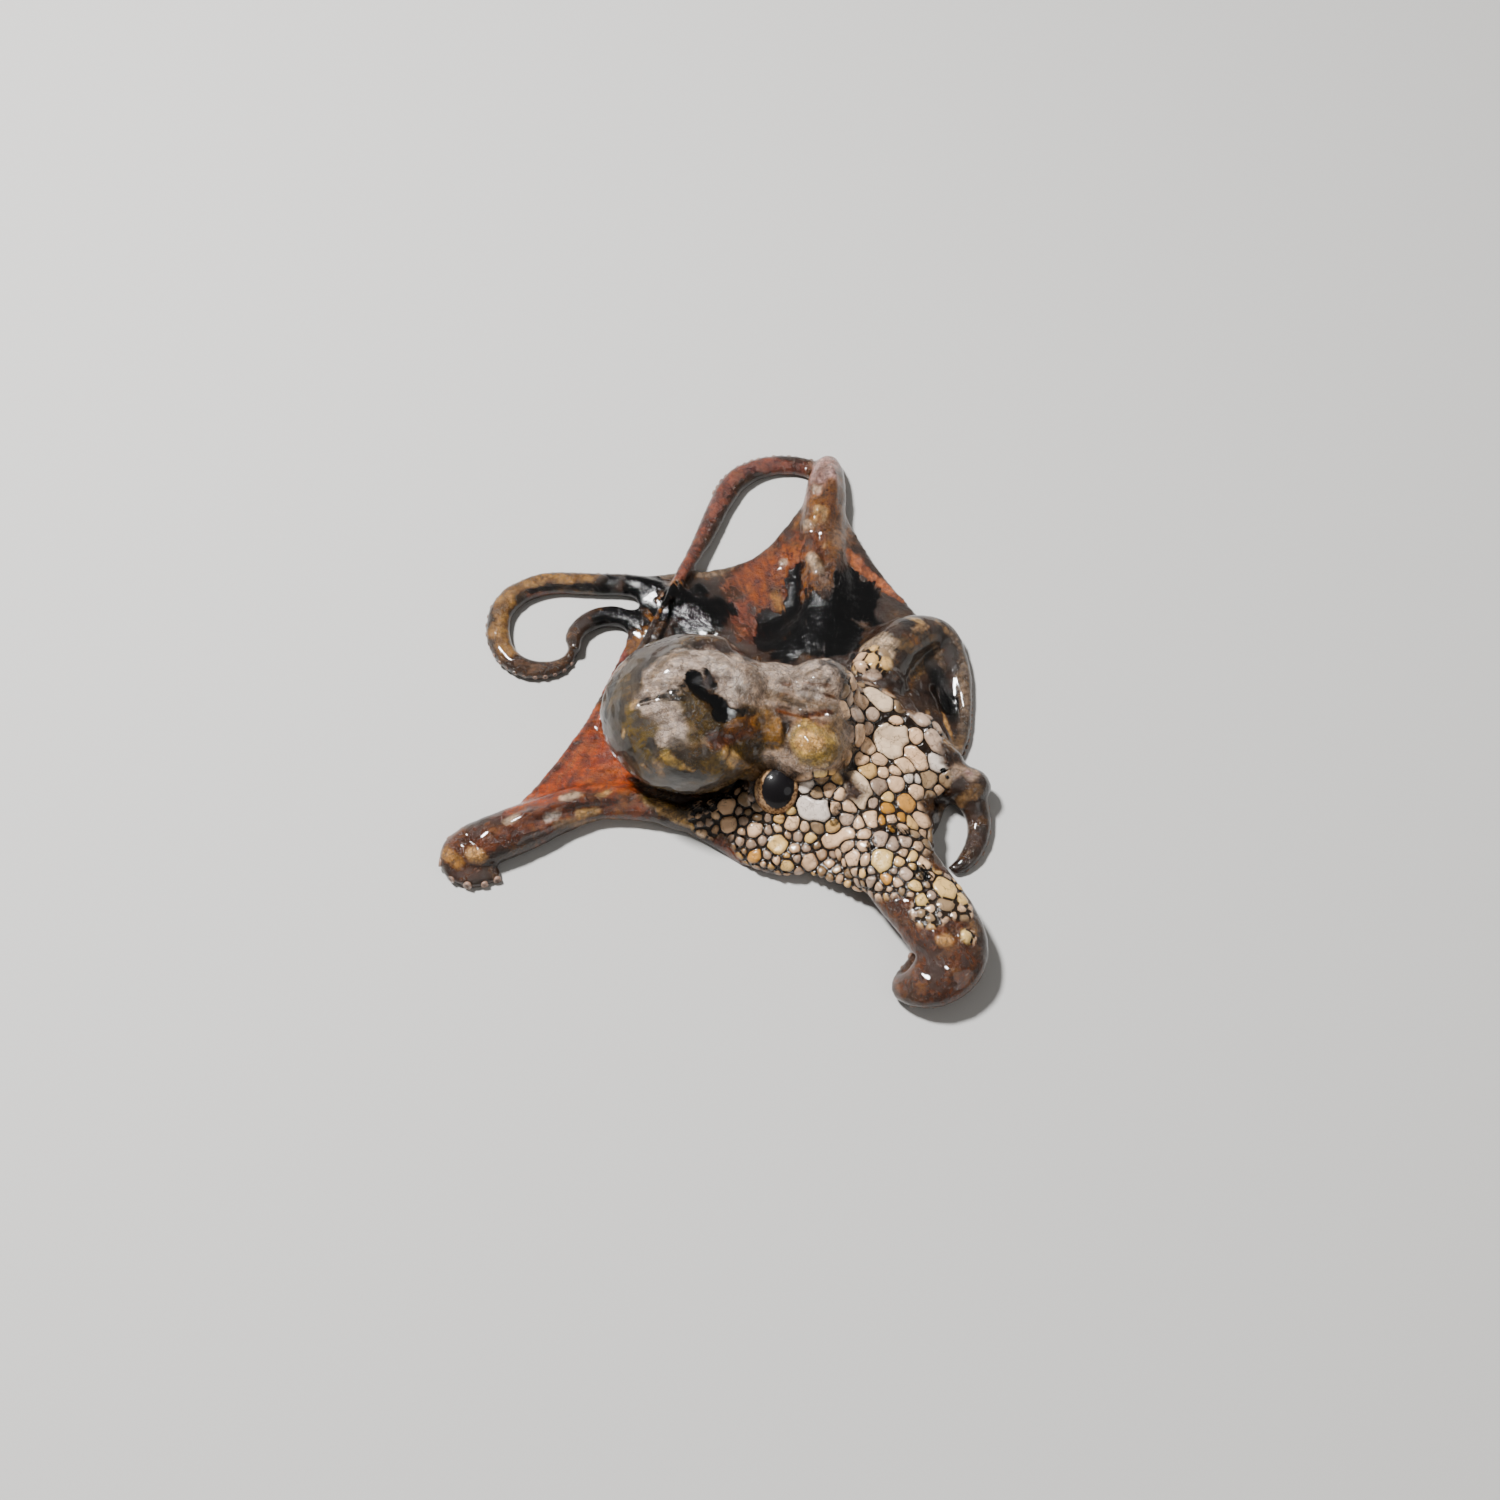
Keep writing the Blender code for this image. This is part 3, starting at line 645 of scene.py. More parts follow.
class Cobbles:
    """The pale plates of the hide: which plate each vertex is in, and how far from its edge."""

    def __init__(self, skin):
        co = skin.co
        self.zone = np.zeros(len(co))
        for centre, radius in COBBLED:
            self.zone = np.maximum(self.zone, 1 - np.linalg.norm(co - centre, axis=1) / radius)
        up = skin.normal[:, 2] > -0.2
        self.inside = np.where((self.zone > 0) & up)[0]
        places = co[self.inside]
        far = np.linalg.norm(places - BIG_PLATE, axis=1)
        spacing = np.clip(PLATE_SPACING - SPACING_FALL * far, *SPACING_LIMITS)
        starts, ends, sizes, colours = [], [], [], []
        for colour, radius, path in COBBLES:
            line = on_skin(co, path)
            starts.append(line[0])
            ends.append(line[-1])
            sizes.append(radius)
            colours.append(linear(HUES[colour]))
        taken = []
        for a, b, size in zip(starts, ends, sizes):
            for share in (0, 0.5, 1):
                taken.append((*(a * (1 - share) + b * share), size))
        chance = np.random.default_rng(SEED)
        for place, size in scatter(places, spacing, taken, SEED):
            starts.append(place)
            ends.append(place)
            sizes.append(size * chance.uniform(0.5, 1.15))
            shade = linear(HUES[chance.choice(("pale", "pale", "stone", "shade", "cream"))])
            colours.append(shade * chance.uniform(0.75, 1.05))
        self.starts, self.ends = np.array(starts, float), np.array(ends, float)
        self.sizes, self.colours = np.array(sizes), np.array(colours)
        self.measure(co)
        self.snap(skin)
        self.measure(skin.co)
        far = np.linalg.norm(skin.co[self.inside] - BIG_PLATE, axis=1)
        self.wide = SEAM_HALF + SEAM_GROWTH * np.clip(far - SEAM_START, 0, SEAM_REACH)

    def measure(self, co):
        """The two nearest plates to every vertex in the zone."""
        tree = KDTree(len(self.starts) * 3)
        places = np.concatenate([self.starts, (self.starts + self.ends) / 2, self.ends])
        for index, place in enumerate(places):
            tree.insert(place, index)
        tree.balance()
        count = len(self.starts)
        self.first = np.zeros(len(self.inside), int)
        self.gap = np.zeros(len(self.inside))
        self.true_gap = np.zeros(len(self.inside))
        self.depth = np.zeros(len(self.inside))
        self.across = np.zeros((len(self.inside), 3))
        for row, vertex in enumerate(self.inside):
            point = co[vertex]
            near = np.array(sorted({index % count for _, index, _ in tree.find_n(point, NEAREST_PLACES)}))
            a, b = self.starts[near], self.ends[near]
            span = b - a
            along = np.clip(((point - a) * span).sum(1) / np.maximum((span**2).sum(1), 1e-6), 0, 1)
            away = point - a - along[:, None] * span
            far = np.linalg.norm(away, axis=1)
            score = far - self.sizes[near]
            best, second = np.argsort(score)[:2]
            self.first[row] = near[best]
            gaps = np.delete(score - score[best], best) / 2
            self.true_gap[row] = gaps.min()
            self.gap[row] = gaps.min() - np.log(np.exp((gaps.min() - gaps) * CORNER).sum()) / CORNER
            self.depth[row] = -score[best]
            self.across[row] = away[best] / max(far[best], 1e-6) - away[second] / max(far[second], 1e-6)

    def snap(self, skin):
        """Draws the vertices beside a seam onto it, so that the seam is a clean line."""
        close = self.true_gap < SNAP_REACH
        across = self.across[close]
        size = np.maximum((across**2).sum(1), 0.4)
        move = across * (2 * self.true_gap[close] / size)[:, None]
        normal = skin.normal[self.inside[close]]
        move -= (move * normal).sum(1)[:, None] * normal
        skin.co[self.inside[close]] += move

    def dome(self, skin):
        """Raises every plate into a low dome over its seams."""
        edge = np.minimum(self.gap - self.wide, self.depth + PLATE_SPREAD) / PLATE_EDGE
        edge = np.clip(edge, 0, 1)
        rise = PLATE_RISE * np.sqrt(1 - (1 - edge) ** 2) * np.clip(self.zone[self.inside] * 5, 0, 1)
        skin.co[self.inside] += skin.normal[self.inside] * (rise - PLATE_SINK)[:, None]


def paint_skin(skin, cobbles):
    """Colour, seams, ink with black painted shade, and streaks as fields over the skin."""
    co = skin.co
    ragged = (cloud(co, 3.0, 3) - 0.5) * 0.9
    colour = np.tile(linear(HUES["umber"]), (len(co), 1))
    for hue, width, strength, path in PAINTS:
        share = strength * brush(co, width, on_skin(co, path), ragged)
        colour += share[:, None] * (linear(HUES[hue]) - colour)
    pale, deep = ease(cloud(co, 3.2, 31), 0.5, 0.75), ease(cloud(co, 2.2, 37), 0.52, 0.75)
    colour += (0.16 * pale)[:, None] * (linear(HUES["tan"]) - colour)
    colour *= (1 - 0.36 * deep)[:, None]
    # black ink, with black painted shade in hollows and under the mantle's edge
    ink_and_shade = np.zeros(len(co))
    for width, strength, path in INK_AND_SHADE_MARKS:
        ink_and_shade = np.maximum(ink_and_shade, strength * brush(co, width, on_skin(co, path), ragged * 1.4))
    plates = np.zeros(len(co))
    seam = np.full(len(co), 3.0)
    inside = cobbles.inside
    amount = np.clip(cobbles.zone[inside] * 6, 0, 1)
    depth = np.minimum(cobbles.gap - cobbles.wide, cobbles.depth + PLATE_SPREAD)
    seam[inside] = depth
    plates[inside] = amount
    shade = np.clip(cobbles.colours[cobbles.first] * PLATE_LIGHT, 0, 0.85)
    low = np.clip((9 - co[inside, 2]) / 5, 0, 1) * np.clip(1 - depth / 0.7, 0, 1)
    # painted shade: each plate is darker towards its rounded edge
    shade = shade * (1 - 0.25 * np.clip(1 - depth / 0.8, 0, 1)[:, None])
    shade = shade + (0.45 * low)[:, None] * (linear(HUES["ochre"]) - shade)
    on_plate = (amount * ease(depth, -0.15, 0.1))[:, None]
    between = linear(HUES["pitch"]) * 0.6
    colour[inside] += (0.7 * amount)[:, None] * (between - colour[inside])
    colour[inside] += on_plate * (shade - colour[inside])
    colour = colour**DEEPEN
    grey = (colour @ (0.21, 0.72, 0.07))[:, None]
    colour = np.clip(grey + (colour - grey) * VIVID, 0.001, 0.9)
    return {"paint": colour, "seam": seam, "plates": plates, "ink_and_shade": ink_and_shade}


def keep_fields(mesh, fields):
    """Stores fields on the vertices for the materials to read."""
    for name, values in fields.items():
        if values.ndim == 2:
            layer = mesh.attributes.new(name, "FLOAT_COLOR", "POINT")
            rows = np.column_stack([values, np.ones(len(values))]).astype(np.float32)
            layer.data.foreach_set("color", rows.ravel())
        else:
            layer = mesh.attributes.new(name, "FLOAT", "POINT")
            layer.data.foreach_set("value", values.astype(np.float32))


def simple_material(name, colour, roughness):
    material = bpy.data.materials.new(name)
    material.use_nodes = True
    shader = material.node_tree.nodes["Principled BSDF"]
    shader.inputs["Base Color"].default_value = (*colour, 1)
    shader.inputs["Roughness"].default_value = roughness
    return material


class Board:
    """A short way to lay out a material's nodes; the textures' places are in metres."""

    def __init__(self, tree):
        self.tree = tree

    def node(self, kind, **values):
        node = self.tree.nodes.new(kind)
        for key, value in values.items():
            setattr(node, key, value)
        return node

    def put(self, socket, value):
        if isinstance(value, bpy.types.NodeSocket):
            self.tree.links.new(value, socket)
        elif isinstance(value, (tuple, list, np.ndarray)) and len(value) == 3 and socket.type == "RGBA":
            socket.default_value = (*value, 1)
        else:
            socket.default_value = value

    def math(self, kind, *values, clamp=False):
        node = self.node("ShaderNodeMath", operation=kind, use_clamp=clamp)
        for socket, value in zip(node.inputs, values):
            self.put(socket, value)
        return node.outputs[0]

    def plus(self, first, second):
        return self.math("ADD", first, second)

    def less(self, first, second, clamp=False):
        return self.math("SUBTRACT", first, second, clamp=clamp)

    def times(self, first, second):
        return self.math("MULTIPLY", first, second)

    def scaled(self, value, factor, added):
        return self.math("MULTIPLY_ADD", value, factor, added)

    def length(self, across, along):
        """How long a line is that runs this far across and along."""
        return self.math("SQRT", self.plus(self.math("POWER", across, 2.0), self.math("POWER", along, 2.0)))

    def step(self, value, low, high, start=0.0, end=1.0):
        """start below low, end above high, smooth between."""
        node = self.node("ShaderNodeMapRange", interpolation_type="SMOOTHSTEP")
        for name, given in zip(("Value", "From Min", "From Max", "To Min", "To Max"),
                               (value, low, high, start, end)):
            self.put(node.inputs[name], given)
        return node.outputs["Result"]

    def mix(self, share, first, second, blend="MIX"):
        node = self.node("ShaderNodeMix", data_type="RGBA", blend_type=blend)
        for socket, value in zip((node.inputs[0], node.inputs[6], node.inputs[7]), (share, first, second)):
            self.put(socket, value)
        return node.outputs[2]

    def noise(self, place, scale, detail=3.0, rough=0.55, bend=0.0):
        node = self.node("ShaderNodeTexNoise")
        for name, value in (("Vector", place), ("Scale", scale), ("Detail", detail),
                            ("Roughness", rough), ("Distortion", bend)):
            self.put(node.inputs[name], value)
        return node.outputs["Fac"]

    def cracks(self, place, scale):
        node = self.node("ShaderNodeTexVoronoi", feature="DISTANCE_TO_EDGE")
        self.put(node.inputs["Vector"], place)
        self.put(node.inputs["Scale"], scale)
        return node.outputs["Distance"]

    def bent(self, place, scale, amount):
        """The same places, pushed about by noise."""
        node = self.node("ShaderNodeTexNoise")
        self.put(node.inputs["Vector"], place)
        self.put(node.inputs["Scale"], scale)
        push = self.node("ShaderNodeVectorMath", operation="MULTIPLY_ADD")
        self.put(push.inputs[0], node.outputs["Color"])
        push.inputs[1].default_value = (amount, amount, amount)
        self.put(push.inputs[2], place)
        return push.outputs[0]

    def field(self, name):
        node = self.node("ShaderNodeAttribute", attribute_name=name)
        return node.outputs["Color"], node.outputs["Fac"]


def new_material(name):
    material = bpy.data.materials.new(name)
    material.use_nodes = True
    board = Board(material.node_tree)
    return material, board, material.node_tree.nodes["Principled BSDF"]


def streaks(board, place, across, along):
    """Fine streaks that run out from the mouth, as in the webs and arms."""
    split = board.node("ShaderNodeSeparateXYZ")
    board.put(split.inputs[0], place)
    x = board.less(split.outputs[0], float(metres(MOUTH)[0]))
    y = board.less(split.outputs[1], float(metres(MOUTH)[1]))
    turn = board.math("ARCTAN2", y, x)
    far = board.length(x, y)
    joined = board.node("ShaderNodeCombineXYZ")
    board.put(joined.inputs[0], board.times(turn, across))
    board.put(joined.inputs[1], board.times(far, along))
    lines = board.noise(joined.outputs[0], 1.0, 4, 0.6, 0.6)
    away = board.step(far, 0.020, 0.036)  # none on the head itself
    return board.plus(board.times(board.less(lines, 0.5), away), 0.5)


def wet_hide():
    """Wet octopus hide: painted ground, pale plates with dark seams, crazing, and pooled ink that also holds
    black painted shade in hollows and under the mantle's edge.
    """
    material, board, shader = new_material("wet_hide")
    place = board.node("ShaderNodeTexCoord").outputs["Object"]
    paint = board.field("paint")[0]
    seam, plates, ink_and_shade = (board.field(name)[1] for name in ("seam", "plates", "ink_and_shade"))
    coarse = board.noise(place, 380, 4, 0.6, 0.8)
    middling = board.noise(place, 1100, 4, 0.65, 0.5)
    fine = board.noise(place, 3600, 3, 0.6)
    streak = streaks(board, place, 26.0, 90.0)
    bare = board.less(1.0, plates, clamp=True)

    # the ground: blotches, streaks and dots of pigment
    dark = board.plus(board.times(coarse, 0.45), board.times(streak, 0.55))
    dark = board.step(dark, 0.44, 0.56, 1.0, 0.0)
    colour = board.mix(board.times(dark, board.times(bare, 0.72)),
                       paint, board.mix(1.0, paint, (0.30, 0.26, 0.22), "MULTIPLY"))
    dots = board.step(middling, 0.50, 0.66)
    colour = board.mix(board.times(dots, board.scaled(bare, 0.40, 0.06)),
                       colour, board.mix(1.0, colour, (2.1, 1.85, 1.5), "MULTIPLY"))
    pits = board.step(board.plus(middling, board.times(fine, 0.35)), 0.50, 0.66, 1.0, 0.0)
    colour = board.mix(board.times(pits, board.scaled(bare, 0.44, 0.10)),
                       colour, board.mix(1.0, colour, (0.34, 0.29, 0.26), "MULTIPLY"))

    # plates: crazing, then the seams between them
    crooked = board.bent(place, 900, 0.0022)
    craze = board.step(board.cracks(crooked, 480), 0.010, 0.035, 1.0, 0.0)
    craze = board.times(craze, board.step(coarse, 0.42, 0.56))
    wide_craze = board.step(board.cracks(crooked, 230), 0.012, 0.03, 1.0, 0.0)
    light = board.node("ShaderNodeSeparateColor", mode="HSV")
    board.put(light.inputs[0], paint)
    pale = board.step(light.outputs[2], 0.22, 0.34)
    craze = board.math("MAXIMUM", craze, board.times(wide_craze, bare))
    craze = board.times(craze, pale)
    colour = board.mix(board.times(craze, 0.55), colour, (0.07, 0.045, 0.03))
    ragged = board.scaled(middling, 0.20, board.plus(seam, -0.10))
    gutter = board.times(
        board.step(ragged, 0.0, 0.15, 1.0, 0.0), board.step(ragged, -0.55, -0.2, 0.25, 1.0)
    )
    gutter = board.times(gutter, board.step(plates, 0.1, 0.9))
    colour = board.mix(gutter, colour, board.mix(coarse, (0.004, 0.003, 0.002), (0.030, 0.016, 0.008)))

    # ink and black painted shade, thin and fibrous at its edge
    hairs = streaks(board, place, 70.0, 130.0)
    fibre = board.plus(board.times(middling, 0.6), board.times(hairs, 1.0))
    pool = board.plus(ink_and_shade, board.times(board.less(fibre, 0.8), 1.7))
    pool = board.times(board.step(pool, 0.26, 0.80), board.step(ink_and_shade, 0.02, 0.2))
    colour = board.mix(pool, colour, (0.0012, 0.0013, 0.0015))
    board.put(shader.inputs["Base Color"], colour)

    rough = board.scaled(fine, 0.26, 0.05)
    rough = board.scaled(pool, -0.2, rough)
    board.put(shader.inputs["Roughness"], board.math("MAXIMUM", rough, 0.12))
    board.put(shader.inputs["Coat Weight"], board.scaled(pool, -0.35, 0.55))
    shader.inputs["Coat Roughness"].default_value = 0.07
    shader.inputs["IOR"].default_value = 1.42

    height = board.scaled(middling, 0.8, board.times(fine, 0.36))
    height = board.scaled(streak, 0.4, height)
    height = board.times(height, board.scaled(bare, 0.78, 0.22))
    height = board.times(height, board.scaled(pool, -0.75, 1.0))
    height = board.scaled(gutter, -0.5, height)
    height = board.scaled(craze, -0.2, height)
    bump = board.node("ShaderNodeBump")
    bump.inputs["Strength"].default_value = 0.8
    bump.inputs["Distance"].default_value = 0.0007
    board.put(bump.inputs["Height"], height)
    board.put(shader.inputs["Normal"], bump.outputs["Normal"])
    return material


def eye_ball(name):
    """A wet eye: black upright pupil, gold ring, dark rim."""
    material, board, shader = new_material(name)
    gaze = board.field("gaze")[0]
    split = board.node("ShaderNodeSeparateColor")
    board.put(split.inputs[0], gaze)
    side, up = (board.scaled(socket, 2.0, -1.0) for socket in split.outputs[:2])
    place = board.node("ShaderNodeTexCoord").outputs["Object"]
    grain = board.noise(place, 1500, 4, 0.6)

    def ring(middle_side, middle_up, wide, tall):
        a = board.math("DIVIDE", board.less(side, middle_side), wide)
        b = board.math("DIVIDE", board.less(up, middle_up), tall)
        return board.length(a, b)

    pupil = board.scaled(grain, 0.14, ring(0.08, 0.08, 0.56, 0.74))
    iris = board.scaled(grain, 0.12, ring(0.0, -0.01, 0.76, 0.92))
    gold = board.mix(board.step(grain, 0.35, 0.65), (0.14, 0.06, 0.02), (0.60, 0.36, 0.18))
    colour = board.mix(board.step(iris, 1.0, 1.1), gold, (0.012, 0.009, 0.008))
    colour = board.mix(board.step(pupil, 1.02, 1.12, 1.0, 0.0), colour, (0.006, 0.005, 0.006))
    board.put(shader.inputs["Base Color"], colour)
    shader.inputs["Roughness"].default_value = 0.45
    shader.inputs["IOR"].default_value = 1.2
    shader.inputs["Coat Weight"].default_value = 0.3
    shader.inputs["Coat Roughness"].default_value = 0.03
    return material


def dress(obj, material):
    obj.data.materials.clear()
    obj.data.materials.append(material)
    take(obj)
    bpy.ops.object.shade_smooth()


def add_sucker(size):
    """One cup: a short drum with a rolled rim and a hollow face."""
    start_clean()
    bpy.ops.mesh.primitive_cylinder_add(
        vertices=10, radius=size * MM, depth=size * 0.8 * MM, location=(0, 0, 0)
    )
    obj = bpy.context.object
    _, normals = face_fields(obj.data)
    edit_faces(obj, normals[:, 2] > 0.9)
    bpy.ops.mesh.inset(thickness=size * 0.28 * MM)
    bpy.ops.mesh.inset(thickness=size * 0.22 * MM)
    bpy.ops.transform.translate(value=(0, 0, -size * 0.35 * MM))
    bpy.ops.object.mode_set(mode="OBJECT")
    return obj


def place_sucker(obj, place, facing):
    """Turns a cup to its facing and sets it on the arm."""
    turn = Vector(facing).to_track_quat("Z", "Y").to_matrix().to_4x4()
    obj.matrix_world = Matrix.Translation(metres(place)) @ turn
    return apply_place(obj)


def build_suckers():
    cups = []
    for arm, (start, end), count, side, tilt, size, out in SUCKER_ROWS:
        flat, line = ARMS[arm][0], LINES[arm]
        for number, share in enumerate(np.linspace(start, end, count)):
            row = share * (len(line) - 1)
            at = np.array([np.interp(row, np.arange(len(line)), line[:, k]) for k in range(4)])
            ahead = line[min(int(row) + 1, len(line) - 1), :3] - line[max(int(row) - 1, 0), :3]
            across = np.cross(ahead, (0, 0, 1)) * side
            across /= np.linalg.norm(across)
            level, rise = math.cos(math.radians(tilt)), math.sin(math.radians(tilt))
            facing = across * level + np.array((0, 0, rise))
            reach = at[3] * math.hypot(level, flat * rise)
            radius = size * (1 - CUP_TAPER * share) * (0.9 + 0.2 * ((number * 7) % 5) / 4)
            place = at[:3] + facing * (reach * out)
            place[2] = max(place[2], radius * CUP_CLEARANCE)
            cups.append(place_sucker(add_sucker(radius), place, facing))
    return join(cups, "suckers")


def sucker_flesh():
    """Pale, damp cups, browner in patches."""
    material, board, shader = new_material("sucker_flesh")
    place = board.node("ShaderNodeTexCoord").outputs["Object"]
    tone = board.step(board.noise(place, 260, 2), 0.4, 0.62)
    colour = board.mix(tone, (0.40, 0.24, 0.17), (0.16, 0.085, 0.05))
    colour = board.mix(board.times(board.noise(place, 1800, 3), 0.5), colour, (0.07, 0.04, 0.028))
    board.put(shader.inputs["Base Color"], colour)
    shader.inputs["Roughness"].default_value = 0.3
    shader.inputs["Coat Weight"].default_value = 0.6
    shader.inputs["Coat Roughness"].default_value = 0.08
    return material


def build_eyes():
    pieces = {}
    for name in EYES:
        middle = ball_centre(name)
        obj = add_lump(name, middle, (EYE_RADIUS,) * 3, 0)
        look, side, up = axes_of(EYES[name][1])
        co = np.empty(len(obj.data.vertices) * 3)
        obj.data.vertices.foreach_get("co", co)
        away = (millimetres(co.reshape(-1, 3)) - middle) / EYE_RADIUS
        gaze = np.column_stack([away @ side, away @ up, away @ look]) * 0.5 + 0.5
        keep_fields(obj.data, {"gaze": gaze})
        obj.name = name + "_ball"
        pieces[name] = obj
    return pieces


# ---------------------------------------------------------------- marks on the hide

# Places are in whole millimetres, and on_skin() moves each to the nearest vertex of the hide.

# colours as seen on a screen
HUES = {
    "terracotta": (170, 92, 54), "gold_brown": (128, 98, 56), "umber": (66, 46, 33),
    "olive": (86, 70, 36), "tarn": (56, 44, 28), "moss": (104, 88, 44), "drab": (112, 94, 72),
    "grey": (194, 180, 170), "white": (208, 198, 190), "chalk": (206, 188, 168),
    "pale": (208, 182, 158), "stone": (176, 158, 144), "shade": (150, 132, 112),
    "cream": (212, 182, 140), "butter": (222, 184, 140), "honey": (186, 148, 104),
    "amber": (176, 138, 90), "straw": (202, 176, 122), "soot": (50, 44, 42),
    "bark": (104, 62, 34), "oak": (116, 78, 44), "rust": (134, 80, 52), "rust_brown": (108, 62, 38),
    "plum": (122, 78, 66), "tan": (146, 116, 80), "smoke": (126, 112, 100), "salmon": (184, 122, 92),
    "ash_pink": (182, 154, 150), "dusk": (136, 114, 100), "pitch": (26, 20, 17),
    "sand": (156, 132, 106), "dusk_brown": (74, 56, 46), "grit": (96, 74, 58), "rose": (178, 112, 104),
    "ochre": (134, 94, 48), "cocoa": (96, 60, 36),
}

# ridges and furrows: half width, height, path
STROKES = (
    # the mantle's back: hollows, grey swelling, fold and crease
    (3.2, -1.8, ((-12, 0, 31), (-9, -3, 29), (-6, -6, 28), (-3, -6, 28))),
    (1.6, -0.9, ((-9, 4, 31), (-8, 2, 31))),
    (4.5, 1.0, ((-21, 0, 31), (-14, 5, 32), (-7, 4, 31), (0, 3, 29), (4, 2, 26))),
    (2.4, 1.3, ((-15, 10, 29), (-12, 12, 28), (-8, 12, 28), (-4, 12, 25))),
    (1.1, -0.9, ((-14, 8, 30), (-9, 9, 29), (-5, 8, 29), (-3, 5, 29), (2, 7, 25))),
    # under the mantle, and its front lobe
    (1.5, -1.2, ((2, -13, 16), (-1, -14, 12), (-6, -13, 5), (-15, -16, 5), (-20, -15, 4), (-28, -7, 3))),
    (5.0, 1.0, ((-20, -14, 26), (-15, -18, 23), (-9, -18, 22), (-4, -16, 21))),
    # pale knob and its root, and the waist
    (1.4, 1.7, ((-5, -15, 25),)),
    (1.1, 0.8, ((-4, -15, 24), (-2, -15, 22), (0, -14, 17))),
    (2.6, -1.2, ((2, -13, 19), (0, -11, 21), (-3, -11, 24), (-7, -12, 26))),
    # slit between the brows, and wrinkles on the far one
    (0.9, -0.9, ((5, -4, 24), (9, -4, 23), (13, -5, 23), (17, -4, 23))),
    (0.55, -0.45, ((6, -2, 25), (11, -1, 24), (15, -2, 23), (19, -4, 22))),
    (0.55, -0.4, ((8, 0, 25), (12, 1, 24), (16, 0, 24), (19, -1, 22))),
    (0.55, -0.4, ((9, -3, 24), (13, -3, 24), (17, -5, 23))),
    # ring round the near brow, crease beside it, fold over the eye
    (1.3, -0.5, ((10, -7, 23), (8, -9, 22), (8, -12, 21), (11, -15, 20), (14, -16, 20))),
    (1.1, -0.5, ((8, -6, 23), (8, -9, 22), (7, -11, 21), (4, -11, 21))),
    (1.5, 0.7, ((4, -12, 20), (6, -13, 19), (9, -15, 19), (13, -17, 19), (17, -16, 19))),
    # edge of the head
    (2.2, -0.6, ((21, 7, 23), (22, 4, 22), (22, 0, 20), (21, -5, 20), (23, -8, 16), (22, -12, 14))),
    # ridges and folds that run out over the crown
    (1.2, 1.1, ((21, 16, 11), (25, 14, 14), (29, 13, 14), (34, 12, 11), (38, 9, 7))),
    (0.6, -0.7, ((22, 15, 11), (26, 12, 14), (31, 11, 13))),
    (0.6, -0.7, ((21, 7, 22), (26, 11, 13), (31, 6, 14))),
    (0.6, -0.6, ((21, 6, 23), (23, 2, 20), (25, -1, 16))),
    (1.4, 0.9, ((33, 12, 13), (37, 2, 14), (42, -6, 13), (47, -7, 8))),
    # first left arm: hollow inside it, fringe
    (2.6, -1.6, ((43, 16, 4), (44, 12, 3), (46, 7, 3))),
    (0.45, -0.45, ((40, 1, 12), (42, -4, 11), (45, -8, 10))),
    (0.45, -0.45, ((43, 6, 5), (45, 1, 4), (45, -7, 10))),
    # below the first right arm's bump
    (1.2, -0.8, ((40, -17, 7), (44, -15, 3), (47, -15, 8))),
    # second left arm: groove, ridge and knobs
    (0.8, -0.6, ((19, 78, 4), (17, 71, 6), (16, 64, 7))),
    (0.9, 0.6, ((20, 75, 6), (20, 67, 7), (18, 58, 7))),
    (1.3, 0.8, ((16, 68, 7),)), (1.6, 0.9, ((16, 61, 8),)), (1.9, 0.8, ((14, 58, 6),)),
    (1.2, -0.8, ((16, 55, 6), (17, 50, 7), (18, 44, 7))),
    (1.8, 0.9, ((15, 46, 8),)), (1.5, 0.8, ((8, 49, 4),)),
    # fourth right arm: neck of its end, ridge and furrow
    (1.0, -0.9, ((-62, -19, 0), (-61, -26, 6), (-58, -28, 6))),
    (1.3, 0.9, ((-52, -22, 7), (-44, -19, 7), (-36, -16, 7), (-30, -16, 6))),
    (1.0, -0.7, ((-50, -23, 7), (-44, -21, 6), (-38, -18, 5), (-28, -17, 5))),
    # second right arm: fold and knobs
    (1.0, -0.8, ((32, -47, 0), (36, -54, 8), (37, -59, 9))),
    (1.6, 0.8, ((40, -52, 11),)), (1.3, 0.7, ((45, -51, 11),)), (1.2, 0.6, ((42, -59, 10),)),
)

